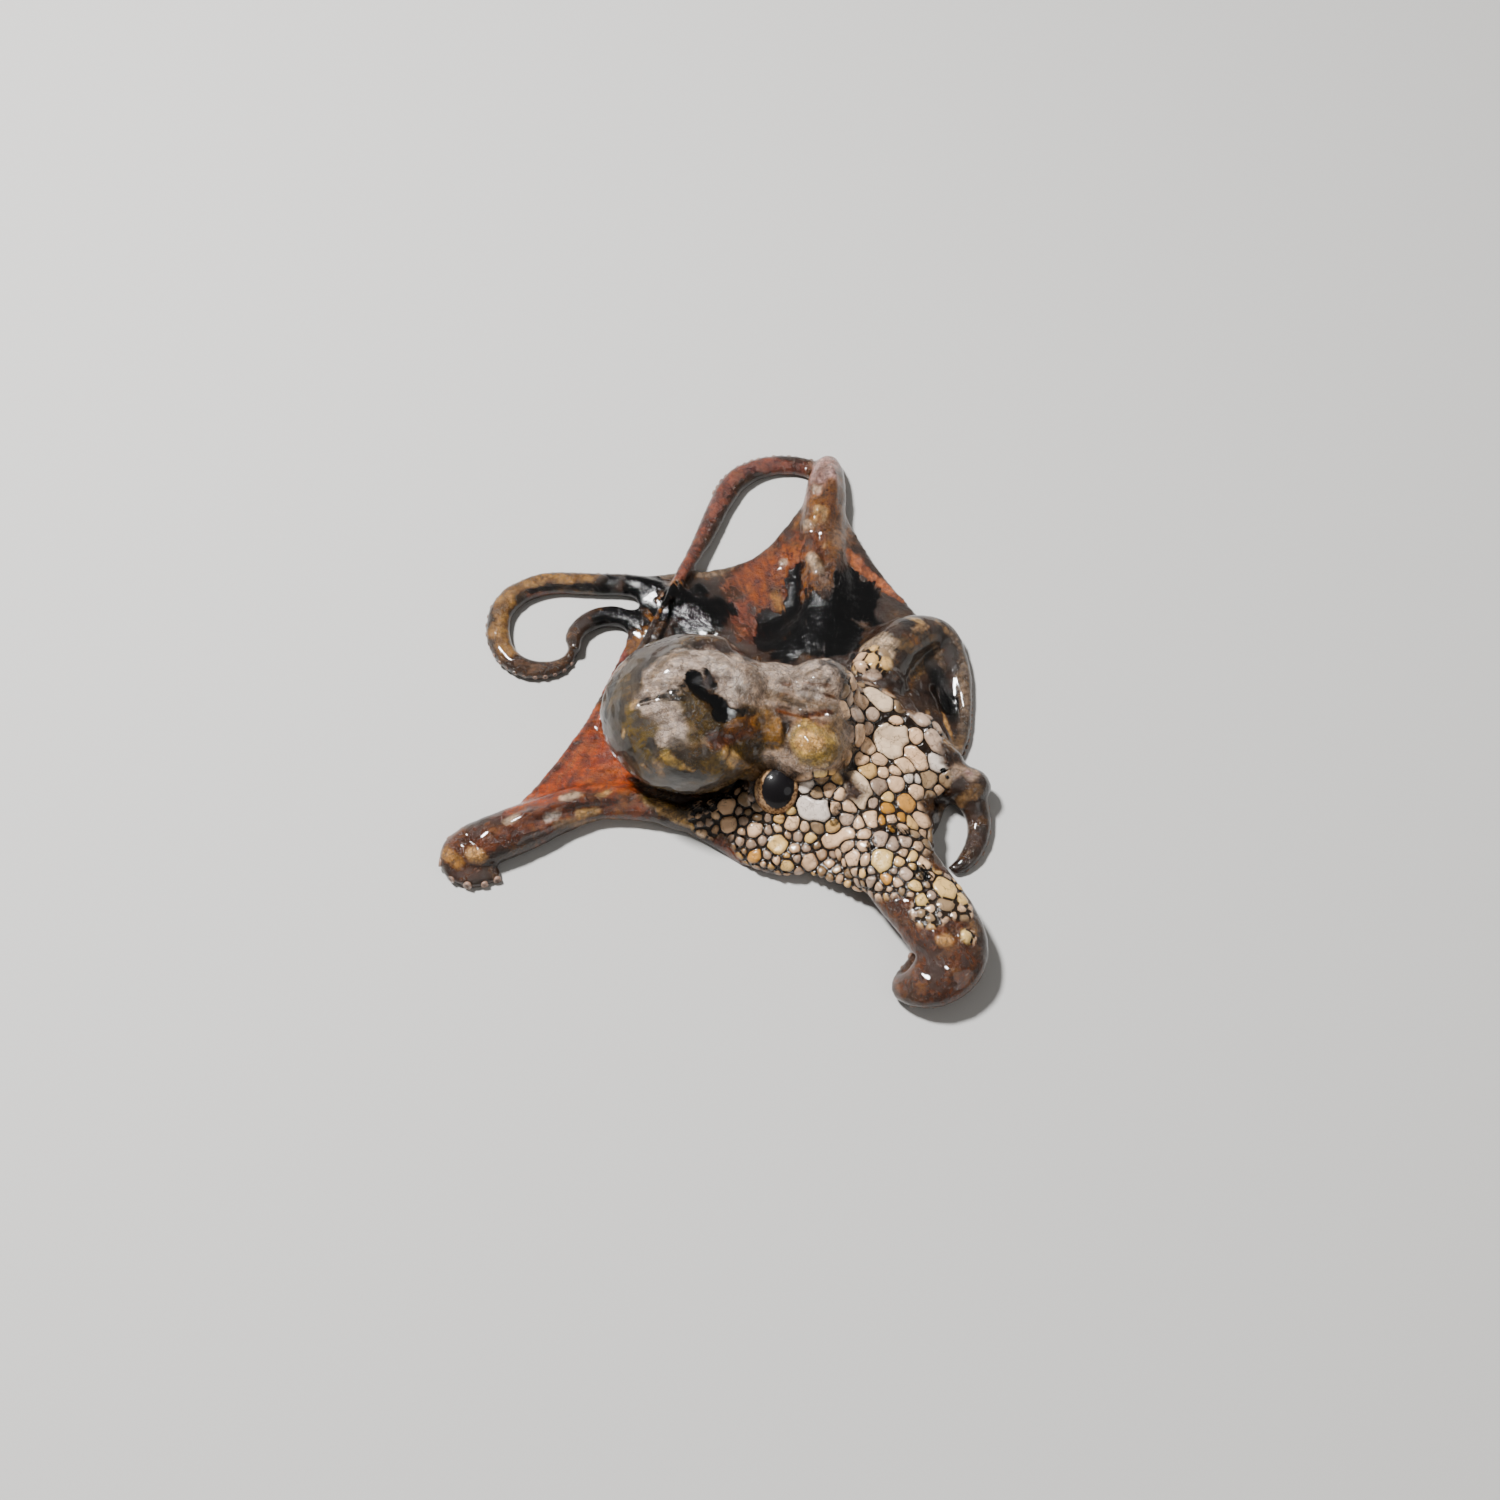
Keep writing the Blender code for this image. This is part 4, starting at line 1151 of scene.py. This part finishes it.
# the larger pale plates: hue, half size, centre or centre line; the first is the largest
COBBLES = (
    ("chalk", 3.7, ((31, -5, 12),)),
    # over the crown
    ("chalk", 1.5, ((27, 6, 16), (30, 3, 16))), ("stone", 0.9, ((27, 0, 16),)),
    ("stone", 1.0, ((26, -3, 14),)), ("stone", 1.2, ((22, -7, 19),)), ("pale", 1.2, ((24, -10, 13),)),
    ("pale", 0.9, ((32, -1, 14),)), ("pale", 1.2, ((36, -4, 13),)),
    ("stone", 1.1, ((36, 2, 13), (38, 0, 14))), ("stone", 1.0, ((40, -4, 13), (42, -7, 12))),
    ("pale", 1.2, ((34, -6, 11), (38, -10, 10))), ("pale", 1.0, ((29, -13, 13),)),
    ("pale", 0.9, ((32, -12, 12),)), ("white", 0.8, ((35, -13, 11),)), ("white", 0.8, ((37, -13, 10),)),
    ("white", 2.0, ((41, -10, 11),)), ("pale", 0.9, ((41, -14, 7),)), ("pale", 1.4, ((37, -16, 10),)),
    ("pale", 1.4, ((32, -15, 12),)), ("cream", 0.8, ((30, -18, 12),)), ("honey", 1.5, ((34, -19, 10),)),
    # round the right eye
    ("white", 2.1, ((12, -21, 12), (15, -22, 12))), ("white", 1.4, ((12, -17, 14),)),
    ("pale", 1.3, ((17, -18, 15),)), ("pale", 0.9, ((19, -19, 14),)),
    ("chalk", 2.3, ((23, -16, 14), (24, -19, 13))), ("pale", 1.5, ((9, -23, 8),)),
    ("cream", 2.1, ((6, -27, 6),)), ("pale", 1.6, ((1, -24, 7),)), ("pale", 1.9, ((-5, -18, 7),)),
    ("pale", 1.8, ((-5, -22, 6),)), ("shade", 1.6, ((-1, -17, 8),)),
    # below it
    ("pale", 0.9, ((18, -22, 13),)), ("stone", 1.2, ((21, -24, 12),)), ("cream", 0.9, ((13, -26, 7),)),
    ("pale", 1.3, ((17, -28, 8), (21, -27, 11))), ("pale", 1.7, ((13, -31, 5),)),
    ("pale", 1.6, ((22, -32, 10),)), ("pale", 1.0, ((17, -31, 5),)), ("pale", 1.4, ((26, -24, 12),)),
    ("stone", 1.2, ((26, -20, 13),)), ("honey", 1.5, ((1, -29, 4),)), ("cream", 1.2, ((8, -32, 5),)),
    # down the second right arm
    ("amber", 0.9, ((30, -21, 12),)), ("amber", 0.8, ((33, -23, 11),)), ("amber", 0.6, ((31, -26, 12),)),
    ("amber", 0.7, ((28, -24, 12),)), ("stone", 1.3, ((28, -29, 12),)), ("stone", 1.1, ((33, -29, 12),)),
    ("butter", 2.1, ((28, -34, 12),)), ("cream", 1.0, ((35, -33, 12),)), ("stone", 1.3, ((33, -37, 12),)),
    ("pale", 1.4, ((37, -34, 12),)), ("honey", 1.1, ((29, -38, 11),)), ("cream", 1.2, ((35, -40, 12),)),
    ("butter", 1.3, ((36, -43, 12),)), ("cream", 1.9, ((41, -39, 11), (42, -41, 11))),
    ("cream", 1.2, ((45, -42, 10),)), ("shade", 1.5, ((41, -44, 12),)), ("shade", 1.0, ((38, -47, 11),)),
    ("butter", 1.3, ((46, -51, 11),)),
)
BIG_PLATE = np.array(COBBLES[0][2][0])

# balls that the plates fill: centre, radius
COBBLED = (
    ((25, 2, 17), 9), ((31, -9, 12), 12), ((13, -23, 10), 9), ((21, -28, 11), 9), ((3, -25, 6), 8),
    ((-4, -19, 7), 6.5), ((15, -18, 14), 6), ((27, 15, 14), 5), ((31, -25, 11), 10), ((28, -34, 12), 9),
    ((11, -30, 5), 7), ((20, -33, 5), 7), ((34, -37, 12), 6), ((41, -41, 11), 6), ((38, -45, 11), 4.6),
    ((44, -44, 11), 4), ((46, -51, 11), 2.2), ((-9, -20, 5), 5), ((39, -2, 13), 4.6), ((40, -12, 8), 4.4),
)

# brushed colour, first to last: hue, half width, strength, path
PAINTS = (
    # second left arm: brown, with a grey-pink end and a dusky side
    ("oak", 9.0, 1.0, ((17, 73, 6), (15, 56, 6), (12, 45, 4))),
    ("ash_pink", 4.2, 1.0, ((19, 84, 0), (18, 72, 7), (21, 72, 6), (12, 68, 0))),
    ("dusk", 2.6, 0.9, ((22, 72, 5), (23, 62, 4), (21, 53, 6))),
    ("oak", 1.6, 0.9, ((19, 69, 7), (18, 62, 8), (17, 58, 7))),
    # its cream knobs, and the dark between them
    ("chalk", 1.4, 0.6, ((16, 68, 7),)), ("cream", 1.7, 0.7, ((16, 61, 8), (16, 59, 7))),
    ("chalk", 1.7, 0.7, ((13, 58, 6),)), ("cream", 0.9, 0.6, ((13, 55, 5), (14, 55, 6))),
    ("cream", 0.7, 0.6, ((17, 51, 7),)),
    ("bark", 0.7, 0.8, ((17, 63, 7), (16, 58, 7), (17, 54, 7))),
    ("bark", 0.8, 0.8, ((12, 52, 4), (14, 49, 7), (18, 47, 7))),
    ("bark", 2.0, 0.9, ((10, 58, 3), (13, 54, 5), (15, 54, 6), (16, 49, 7))),
    # webs beside it
    ("rust", 6.5, 1.0, ((7, 50, 3), (1, 44, 2), (5, 40, 3))),
    ("plum", 4.2, 0.9, ((-3, 36, 3), (-1, 32, 3), (1, 29, 4))),
    ("tan", 1.8, 0.7, ((6, 41, 3), (7, 36, 3))),
    ("smoke", 1.0, 0.95, ((11, 65, 0), (5, 57, 0), (0, 53, 0), (-7, 47, 2), (-12, 46, 2))),
    ("salmon", 1.5, 0.9, ((23, 51, 4), (26, 47, 4), (31, 42, 4), (35, 38, 4))),
    ("chalk", 1.6, 0.9, ((14, 48, 7), (16, 44, 8))), ("chalk", 1.3, 0.8, ((8, 49, 4),)),
    ("dusk", 1.4, 0.8, ((17, 41, 8),)),
    # web between the fourth arms: terracotta, streaked, with a brown margin
    ("terracotta", 9.0, 1.0, ((-47, -14, 4), (-40, -11, 3), (-32, -11, 4))),
    ("terracotta", 7.0, 1.0, ((-35, 4, 3), (-37, -6, 3), (-33, -11, 4))),
    ("rust_brown", 0.9, 0.55, ((-34, 4, 3), (-37, -5, 3), (-41, -12, 4))),
    ("rust_brown", 0.8, 0.5, ((-36, 6, 2), (-40, -3, 3), (-45, -10, 3))),
    ("rust_brown", 1.1, 0.55, ((-31, -6, 3), (-35, -10, 4), (-39, -16, 6))),
    ("rust", 0.7, 0.6, ((-35, 0, 3), (-39, -8, 3), (-43, -14, 5))),
    ("salmon", 0.6, 0.5, ((-37, 1, 3), (-40, -6, 3), (-43, -10, 3))),
    ("bark", 0.8, 0.8, ((-34, 9, 3), (-38, 1, 3), (-43, -6, 3), (-48, -12, 3), (-52, -14, 0))),
    # first left arm's hump: pale plates, brown and black mottle
    ("umber", 7.0, 1.0, ((29, 32, 6), (35, 25, 12), (41, 23, 6))),
    ("drab", 3.2, 0.8, ((36, 21, 11), (41, 23, 6), (37, 17, 7))),
    ("chalk", 2.6, 1.0, ((27, 20, 12), (30, 21, 13), (30, 18, 14))),
    ("chalk", 1.7, 0.8, ((26, 16, 14), (30, 14, 14))),
    ("cream", 0.9, 0.7, ((36, 29, 10), (39, 28, 10))),
    ("smoke", 2.0, 0.9, ((35, 42, 0), (42, 37, 0), (47, 26, 5), (49, 19, 4), (48, 12, 3), (48, 3, 3))),
    ("pitch", 1.5, 0.85, ((39, 24, 10), (41, 22, 5), (41, 18, 5))),
    ("pitch", 1.2, 0.8, ((33, 28, 10), (36, 27, 11))),
    ("soot", 1.3, 0.8, ((44, 27, 6), (46, 24, 4), (47, 19, 4))),
    ("sand", 0.8, 0.8, ((37, 25, 11), (40, 27, 9))), ("sand", 0.7, 0.8, ((43, 30, 7), (45, 28, 6))),
    ("smoke", 0.9, 0.8, ((43, 23, 4), (44, 19, 4))), ("oak", 1.0, 0.7, ((35, 23, 12), (38, 22, 10))),
    # its hollow and its fringe
    # painted shade: black laid in the hollow inside the first left arm's curl
    ("pitch", 3.0, 1.0, ((43, 17, 4), (45, 12, 3), (46, 7, 3))),
    ("sand", 0.6, 0.8, ((40, 6, 7), (41, 0, 12), (42, -5, 12))),
    ("butter", 0.5, 0.7, ((43, 7, 4), (44, 4, 4), (45, 0, 4))),
    ("sand", 2.6, 0.9, ((42, -1, 11), (44, -4, 10), (46, -2, 4))),
    # first right arm: bump, pale top, end
    ("dusk_brown", 4.2, 1.0, ((47, -12, 9), (50, -10, 8))),
    ("stone", 1.7, 0.85, ((44, -12, 10), (46, -10, 9), (49, -11, 9))),
    ("ash_pink", 0.9, 0.9, ((48, -11, 9),)),
    ("sand", 1.6, 0.7, ((42, -18, 3), (46, -16, 5), (50, -15, 8))),
    ("dusk_brown", 2.6, 1.0, ((49, -22, 4), (49, -27, 3))),
    # fourth right arm: brown back, sandy edge, cream spots
    ("bark", 4.2, 1.0, ((-57, -26, 7), (-50, -24, 7), (-44, -20, 6), (-36, -18, 6), (-25, -17, 5))),
    ("sand", 1.2, 0.8, ((-42, -22, 5), (-35, -20, 2), (-26, -18, 0), (-19, -20, 0))),
    ("chalk", 1.1, 0.9, ((-41, -16, 6), (-38, -15, 6))),
    ("chalk", 0.9, 0.9, ((-53, -22, 7), (-51, -21, 7))),
    ("white", 1.0, 0.9, ((-44, -20, 6), (-42, -19, 6))),
    ("cream", 1.2, 0.8, ((-37, -19, 5), (-34, -18, 4))),
    ("cream", 0.8, 0.8, ((-33, -15, 6), (-31, -14, 6))),
    ("cream", 1.3, 0.8, ((-22, -16, 6), (-19, -17, 5), (-16, -20, 5))),
    # its end
    ("cocoa", 3.6, 1.0, ((-65, -20, 0), (-65, -27, 5), (-62, -30, 3))),
    ("honey", 1.4, 0.8, ((-66, -28, 4), (-63, -31, 4))),
    ("butter", 1.4, 0.9, ((-60, -29, 5), (-58, -30, 5))),
    ("dusk_brown", 1.8, 0.9, ((-55, -30, 4), (-51, -28, 4), (-47, -25, 5))),
    # third left arm: tan loop, dark inside, gritty tip
    ("tan", 2.9, 1.0, ((-36, 44, 4), (-48, 44, 4), (-55, 42, 4), (-57, 37, 4), (-57, 30, 4),
        (-55, 25, 3))),
    # painted shadow: black line along the inner side of the tan loop, where the loop shades the web strand
    # beside it
    ("pitch", 1.2, 0.85, ((-36, 42, 3), (-45, 42, 3), (-51, 41, 3), (-54, 39, 3))),
    ("plum", 1.0, 0.8, ((-51, 40, 3), (-45, 40, 0), (-39, 41, 0))),
    ("grit", 2.6, 1.0, ((-52, 20, 3), (-47, 20, 3), (-43, 23, 2), (-43, 29, 0), (-43, 33, 0))),
    ("smoke", 1.4, 0.95, ((-32, 49, 0), (-25, 48, 0), (-18, 46, 2))),
    # fourth left arm's root and the web edge below it
    ("dusk_brown", 3.0, 1.0, ((-36, 35, 3), (-39, 33, 3), (-43, 33, 0))),
    ("pitch", 3.2, 0.9, ((-33, 43, 4), (-33, 41, 0), (-30, 35, 3))),
    ("rose", 1.6, 0.9, ((-32, 32, 0), (-32, 26, 0), (-33, 20, 0), (-35, 14, 0))),
    # fourth left arm's thin end
    ("ochre", 1.9, 1.0, ((-17, 42, 6), (-22, 36, 3), (-25, 30, 3), (-27, 26, 2))),
    ("plum", 2.4, 1.0, ((12, 77, 2), (3, 78, 3), (-3, 75, 4), (-9, 66, 3), (-13, 56, 4), (-17, 44, 6))),
    ("ochre", 1.6, 0.8, ((-19, 38, 6), (-22, 32, 7))),
    # mantle: olive, mossy and drab in the low parts
    ("olive", 14.0, 1.0, ((-25, -7, 27), (-16, -13, 28), (-7, -16, 24))),
    ("olive", 10.0, 1.0, ((-21, -17, 21), (-12, -19, 21), (-4, -16, 21))),
    ("moss", 3.0, 0.75, ((-27, -9, 24), (-23, -13, 25), (-19, -15, 26))),
    ("moss", 2.6, 0.7, ((-9, -17, 24), (-5, -18, 20), (-9, -19, 15))),
    ("drab", 2.4, 0.8, ((-24, -10, 3), (-18, -13, 4), (-10, -19, 16))),
    ("drab", 2.0, 0.7, ((-15, -16, 25), (-11, -15, 26))),
    ("tarn", 2.4, 0.8, ((-24, 1, 29), (-19, 6, 30), (-14, 9, 30))),
    ("moss", 1.5, 0.75, ((-26, -6, 27), (-24, -10, 26))),
    ("straw", 1.0, 0.6, ((-18, -16, 25), (-15, -18, 24))),
    ("moss", 1.2, 0.8, ((-22, -17, 14), (-17, -18, 14), (-12, -19, 17))),
    ("straw", 0.9, 0.6, ((-6, -16, 25), (-4, -16, 22))),
    ("sand", 1.0, 0.7, ((-20, -17, 23), (-19, -18, 21))),
    # its black mottle
    ("pitch", 1.3, 0.8, ((-26, -11, 23), (-25, -14, 21))),
    ("pitch", 1.1, 0.75, ((-21, -13, 26), (-20, -15, 25))),
    ("pitch", 1.3, 0.75, ((-15, -19, 22), (-10, -19, 21))),
    ("soot", 1.2, 0.7, ((-24, 2, 29), (-22, 4, 29))),
    ("pitch", 1.0, 0.75, ((-28, -3, 26), (-27, -7, 25))),
    ("soot", 1.0, 0.7, ((-6, -18, 20), (-3, -16, 18))),
    # its grey back, with a tongue down the front
    ("grey", 4.6, 1.0, ((-19, -1, 31), (-13, 4, 32), (-7, 4, 31), (0, 3, 29), (4, 4, 26))),
    ("grey", 3.2, 0.95, ((-22, -4, 29), (-18, -8, 29), (-16, -11, 28))),
    ("grey", 1.6, 0.8, ((-17, -12, 28), (-18, -13, 27))),
    ("grey", 3.0, 0.95, ((-5, -2, 30), (-3, -3, 29), (-1, 0, 29))),
    ("white", 1.6, 0.7, ((-9, 4, 31), (-6, 2, 31))), ("white", 1.4, 0.7, ((-3, 0, 30), (-2, -2, 29))),
    # light flecks and dark bands low on its front
    ("cream", 0.6, 0.7, ((-25, -5, 27), (-24, -4, 28))),
    ("cream", 0.5, 0.7, ((-27, -9, 24), (-27, -10, 23))),
    ("sand", 0.6, 0.7, ((-23, -16, 21), (-21, -17, 20))),
    ("cream", 0.5, 0.7, ((-14, -18, 24), (-12, -18, 23))),
    ("sand", 0.6, 0.7, ((-10, -13, 27), (-8, -14, 26))),
    ("tarn", 2.2, 0.8, ((-29, -6, 23), (-28, -10, 21), (-26, -14, 18))),
    ("tarn", 1.8, 0.75, ((-18, -19, 17), (-13, -19, 15), (-6, -18, 18))),
    ("tarn", 1.6, 0.7, ((-16, -14, 27), (-13, -16, 25), (-8, -15, 25))),
    ("drab", 1.0, 0.7, ((-21, 1, 31), (-17, 5, 31), (-14, 6, 31))),
    ("drab", 1.8, 0.95, ((-15, 10, 29), (-10, 12, 28), (-4, 12, 24))),
    # its far side and its end
    ("moss", 3.0, 0.7, ((-24, 13, 22), (-14, 17, 20), (-2, 14, 20))),
    ("tarn", 2.2, 0.8, ((-28, 10, 13), (-16, 17, 13), (-4, 15, 13))),
    ("drab", 1.8, 0.8, ((-20, 15, 10), (-8, 15, 10))), ("grey", 1.6, 0.7, ((-12, 15, 25), (-4, 12, 25))),
    ("cream", 0.9, 0.7, ((-18, 17, 16), (-15, 18, 16))),
    ("tarn", 2.4, 0.8, ((-32, -6, 18), (-31, 4, 14))),
    ("moss", 2.0, 0.7, ((-30, -8, 13), (-30, 0, 24))), ("grey", 1.2, 0.6, ((-30, 6, 20), (-28, 8, 24))),
    # waist and knob
    ("bark", 2.4, 0.9, ((-7, -13, 26), (-3, -10, 25), (2, -8, 24))),
    ("ochre", 1.3, 0.8, ((-5, -10, 26), (-1, -8, 26), (2, -7, 24))),
    ("olive", 2.0, 0.9, ((-2, -13, 23), (2, -12, 20), (4, -11, 21))),
    ("cream", 1.7, 0.95, ((-5, -15, 25), (-3, -16, 22))),
    ("sand", 1.2, 0.8, ((-2, -16, 21), (1, -14, 16))),
    # head, and its far side
    ("stone", 9.0, 1.0, ((9, 2, 25), (16, -1, 24), (17, -10, 23), (14, -16, 20))),
    ("drab", 2.0, 0.7, ((4, 10, 20), (12, 11, 18), (20, 9, 16))),
    ("soot", 1.0, 0.7, ((3, 10, 12), (5, 12, 8))),
    # far brow: grey, lined with dark
    ("grey", 4.6, 1.0, ((6, 4, 26), (11, 7, 24), (16, 4, 26))),
    ("soot", 0.5, 0.8, ((18, 9, 23), (18, 4, 26), (16, 1, 25))),
    ("soot", 0.5, 0.8, ((21, 8, 22), (20, 3, 24), (19, 0, 23))),
    ("soot", 0.45, 0.7, ((18, 9, 24), (15, 5, 26), (12, 4, 26))),
    ("soot", 0.45, 0.7, ((22, 4, 23), (21, 0, 22), (21, -4, 21))),
    ("bark", 0.5, 0.7, ((6, -1, 25), (12, 1, 24), (18, -1, 24))),
    ("bark", 0.5, 0.6, ((7, 2, 25), (12, 2, 25), (17, 1, 26))),
    ("soot", 1.2, 0.8, ((16, 7, 25), (19, 6, 25), (20, 4, 25))),
    ("drab", 1.2, 0.6, ((4, -1, 25), (10, -2, 24), (15, -3, 24), (18, -3, 23))),
    ("white", 1.4, 0.6, ((11, 1, 24), (15, 0, 25))),
    # slit, amber lump and near brow
    ("bark", 0.9, 0.95, ((6, -4, 24), (11, -5, 23), (17, -4, 23))),
    ("oak", 1.8, 0.7, ((11, -6, 23), (15, -7, 23), (17, -8, 23))),
    ("gold_brown", 3.0, 0.95, ((4, -7, 24), (5, -10, 23))),
    ("honey", 1.2, 0.7, ((6, -7, 24), (7, -10, 23))),
    ("straw", 4.6, 0.95, ((12, -11, 24), (16, -13, 23))),
    ("butter", 2.0, 0.7, ((11, -11, 24), (14, -12, 24))),
    ("moss", 1.2, 0.5, ((11, -15, 20), (15, -15, 21), (18, -12, 22))),
    ("drab", 2.0, 0.7, ((19, -6, 22), (20, -11, 20), (18, -14, 20))),
    # fold over the eye, and the dark round the eye
    ("stone", 1.5, 0.9, ((4, -12, 19), (8, -14, 17), (13, -17, 19), (19, -14, 18))),
    ("dusk_brown", 1.0, 0.8, ((9, -16, 16), (14, -17, 14), (20, -15, 15))),
    # partly the lids' own dark rim, partly painted shade in the groove round the eye
    ("umber", 2.0, 0.9, ((0, -16, 12), (1, -20, 8), (5, -22, 7), (10, -21, 10), (10, -17, 12),
        (8, -15, 15))),
    # second right arm: brown, cream spots, dark side
    ("cocoa", 11.0, 1.0, ((38, -45, 12), (42, -53, 11), (40, -59, 9))),
    ("cocoa", 4.0, 0.9, ((24, -38, 5), (29, -43, 9), (33, -49, 9))),
    ("butter", 1.3, 0.9, ((40, -52, 11), (41, -52, 11))),
    ("cream", 1.0, 0.85, ((42, -59, 10), (43, -59, 10))),
    ("butter", 1.1, 0.8, ((47, -48, 10), (48, -50, 9))),
    ("cocoa", 5.0, 0.9, ((35, -59, 8), (40, -61, 9), (44, -57, 10))),
    ("pitch", 1.8, 0.8, ((35, -35, 12), (37, -38, 11))),
    ("dusk_brown", 2.6, 0.8, ((45, -45, 10), (49, -49, 8), (49, -54, 8))),
    # the skirt's edge, and beside the mantle
    ("honey", 0.9, 0.8, ((11, -32, 0), (15, -33, 0))),
    ("rust_brown", 1.4, 0.9, ((-9, -23, 4), (-3, -28, 2), (4, -32, 0), (11, -33, 0))),
    ("rust_brown", 3.0, 0.9, ((-3, -28, 0), (2, -30, 0))),
    ("moss", 2.0, 0.7, ((-22, -15, 5), (-17, -18, 5), (-13, -20, 5))),
    ("cream", 1.1, 0.8, ((-21, -15, 5), (-19, -18, 5))),
    ("cream", 1.0, 0.8, ((-17, -20, 5), (-14, -21, 4))),
    # painted shade: black band under the mantle's front edge, between it and the eye
    ("pitch", 1.6, 0.9, ((-13, -17, 6), (-7, -16, 6), (-3, -13, 7))),
)

# black ink on the hide, and black painted shade in hollows, along the tan loop and under the mantle's edge:
# half width, strength, path
INK_AND_SHADE_MARKS = (
    # on the mantle: hollow and veins, and black painted shade under its edge
    (2.2, 1.0, ((-12, 0, 31), (-10, -3, 29), (-7, -5, 28), (-6, -8, 28))),
    (1.4, 0.8, ((-9, 1, 31), (-8, -2, 30))), (0.9, 0.62, ((-13, -1, 31), (-15, -3, 31), (-19, -4, 30))),
    (0.9, 0.6, ((-14, -5, 31), (-19, -5, 30), (-23, -5, 28))), (1.2, 0.7, ((-5, -7, 27), (-1, -6, 27))),
    (1.5, 0.8, ((-31, -4, 21), (-30, 0, 23), (-29, 4, 24))),
    # painted shade: black band under the mantle's front edge, beside the eye
    (1.2, 0.7, ((-12, -19, 6), (-9, -18, 6), (-6, -15, 7), (-2, -12, 7))),
    # the pool behind the head
    (6.5, 1.0, ((10, 31, 5), (16, 31, 8), (21, 33, 7), (21, 25, 8), (10, 24, 7))),
    (2.6, 1.0, ((11, 46, 4), (10, 42, 3), (10, 36, 3))),
    (4.2, 1.0, ((23, 42, 5), (26, 39, 5), (25, 32, 6))), (3.6, 0.9, ((4, 33, 3), (5, 26, 4))),
    # third web, and the roots of the third and fourth left arms
    (5.5, 1.0, ((-18, 37, 5), (-12, 37, 4), (-8, 36, 4))),
    (4.0, 0.85, ((-15, 30, 3), (-10, 31, 4), (-6, 35, 3))),
    (4.6, 0.95, ((-27, 42, 4), (-24, 40, 3), (-24, 43, 4))),
    (4.0, 0.9, ((-31, 35, 3), (-27, 33, 3), (-31, 33, 3))),
    (2.4, 0.8, ((-35, 48, 0), (-32, 44, 4), (-34, 41, 3))),
    # painted shadow: the same black line along the inside of the tan loop
    (0.8, 0.7, ((-37, 42, 3), (-44, 42, 3), (-51, 41, 3))),
    # spots on the crown
    (1.2, 0.7, ((21, 20, 9), (24, 21, 9))), (1.0, 1.0, ((42, -11, 10),)), (0.8, 0.8, ((43, -12, 9),)),
    (1.0, 0.6, ((32, 19, 13), (33, 18, 13))), (1.2, 0.6, ((29, -1, 15), (30, -1, 15))),
    # stains among the plates
    (1.6, 0.66, ((31, -26, 12), (34, -27, 11))), (1.5, 0.66, ((26, -30, 12), (25, -31, 12))),
    (1.6, 0.66, ((37, -38, 11), (36, -36, 11))), (1.2, 0.6, ((19, -22, 13), (18, -24, 11))),
    # first left arm's hollow and fringe
    # painted shade: black laid in the same hollow of the first left arm
    (2.6, 0.75, ((43, 16, 4), (44, 12, 3), (46, 9, 2))),
    (0.8, 0.5, ((33, 11, 12), (39, 12, 6), (43, 9, 4))),
)


# ---------------------------------------------------------------- the floor, light and camera

# Places and sizes here are in metres; CAMERA_FAR, the lens and the sensor are in millimetres.


def build_floor():
    start_clean()
    bpy.ops.mesh.primitive_plane_add(size=6, location=(0, 0, 0))
    floor = bpy.context.object
    floor.name = "floor"
    dress(floor, simple_material("floor_paper", (0.62, 0.61, 0.59), 0.75))


def build_light():
    world = bpy.data.worlds.new("studio")
    world.use_nodes = True
    background = world.node_tree.nodes["Background"]
    background.inputs["Color"].default_value = (1.0, 0.97, 0.93, 1)
    background.inputs["Strength"].default_value = 0.19
    bpy.context.scene.world = world
    for name, place, size, watts in (
        ("key", (-0.38, 0.24, 0.80), 0.14, 18.0),
        ("fill", (0.7, -0.6, 0.6), 0.6, 1.7),
    ):
        light = bpy.data.lights.new(name, "AREA")
        light.shape = "DISK"
        light.size = size
        light.energy = watts
        lamp = bpy.data.objects.new(name, light)
        lamp.location = place
        lamp.rotation_euler = Vector(place).to_track_quat("Z", "Y").to_euler()
        bpy.context.scene.collection.objects.link(lamp)


CAMERA_FAR = 500.0
CAMERA_RISE = math.radians(60)


def build_camera():
    camera = bpy.data.cameras.new("camera")
    camera.sensor_width = 36
    camera.lens = 53.4
    camera.clip_start = 0.01
    obj = bpy.data.objects.new("camera", camera)
    obj.location = metres((0, -CAMERA_FAR * math.cos(CAMERA_RISE), CAMERA_FAR * math.sin(CAMERA_RISE)))
    obj.rotation_euler = (math.pi / 2 - CAMERA_RISE, 0, 0)
    bpy.context.scene.collection.objects.link(obj)
    bpy.context.scene.camera = obj


def build():
    skin_obj = build_skin()
    skin = Skin(skin_obj)
    shape_skin(skin)
    dress(skin_obj, wet_hide())
    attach(skin_obj, "root")
    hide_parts(*[n for n in frame["nodes"] if not n.startswith("eye_")])
    for name, ball in build_eyes().items():
        dress(ball, eye_ball(name))
        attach(ball, "root")
        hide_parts(name)
    suckers = build_suckers()
    dress(suckers, sucker_flesh())
    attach(suckers, "root")
    build_floor()
    build_light()
    build_camera()


build()
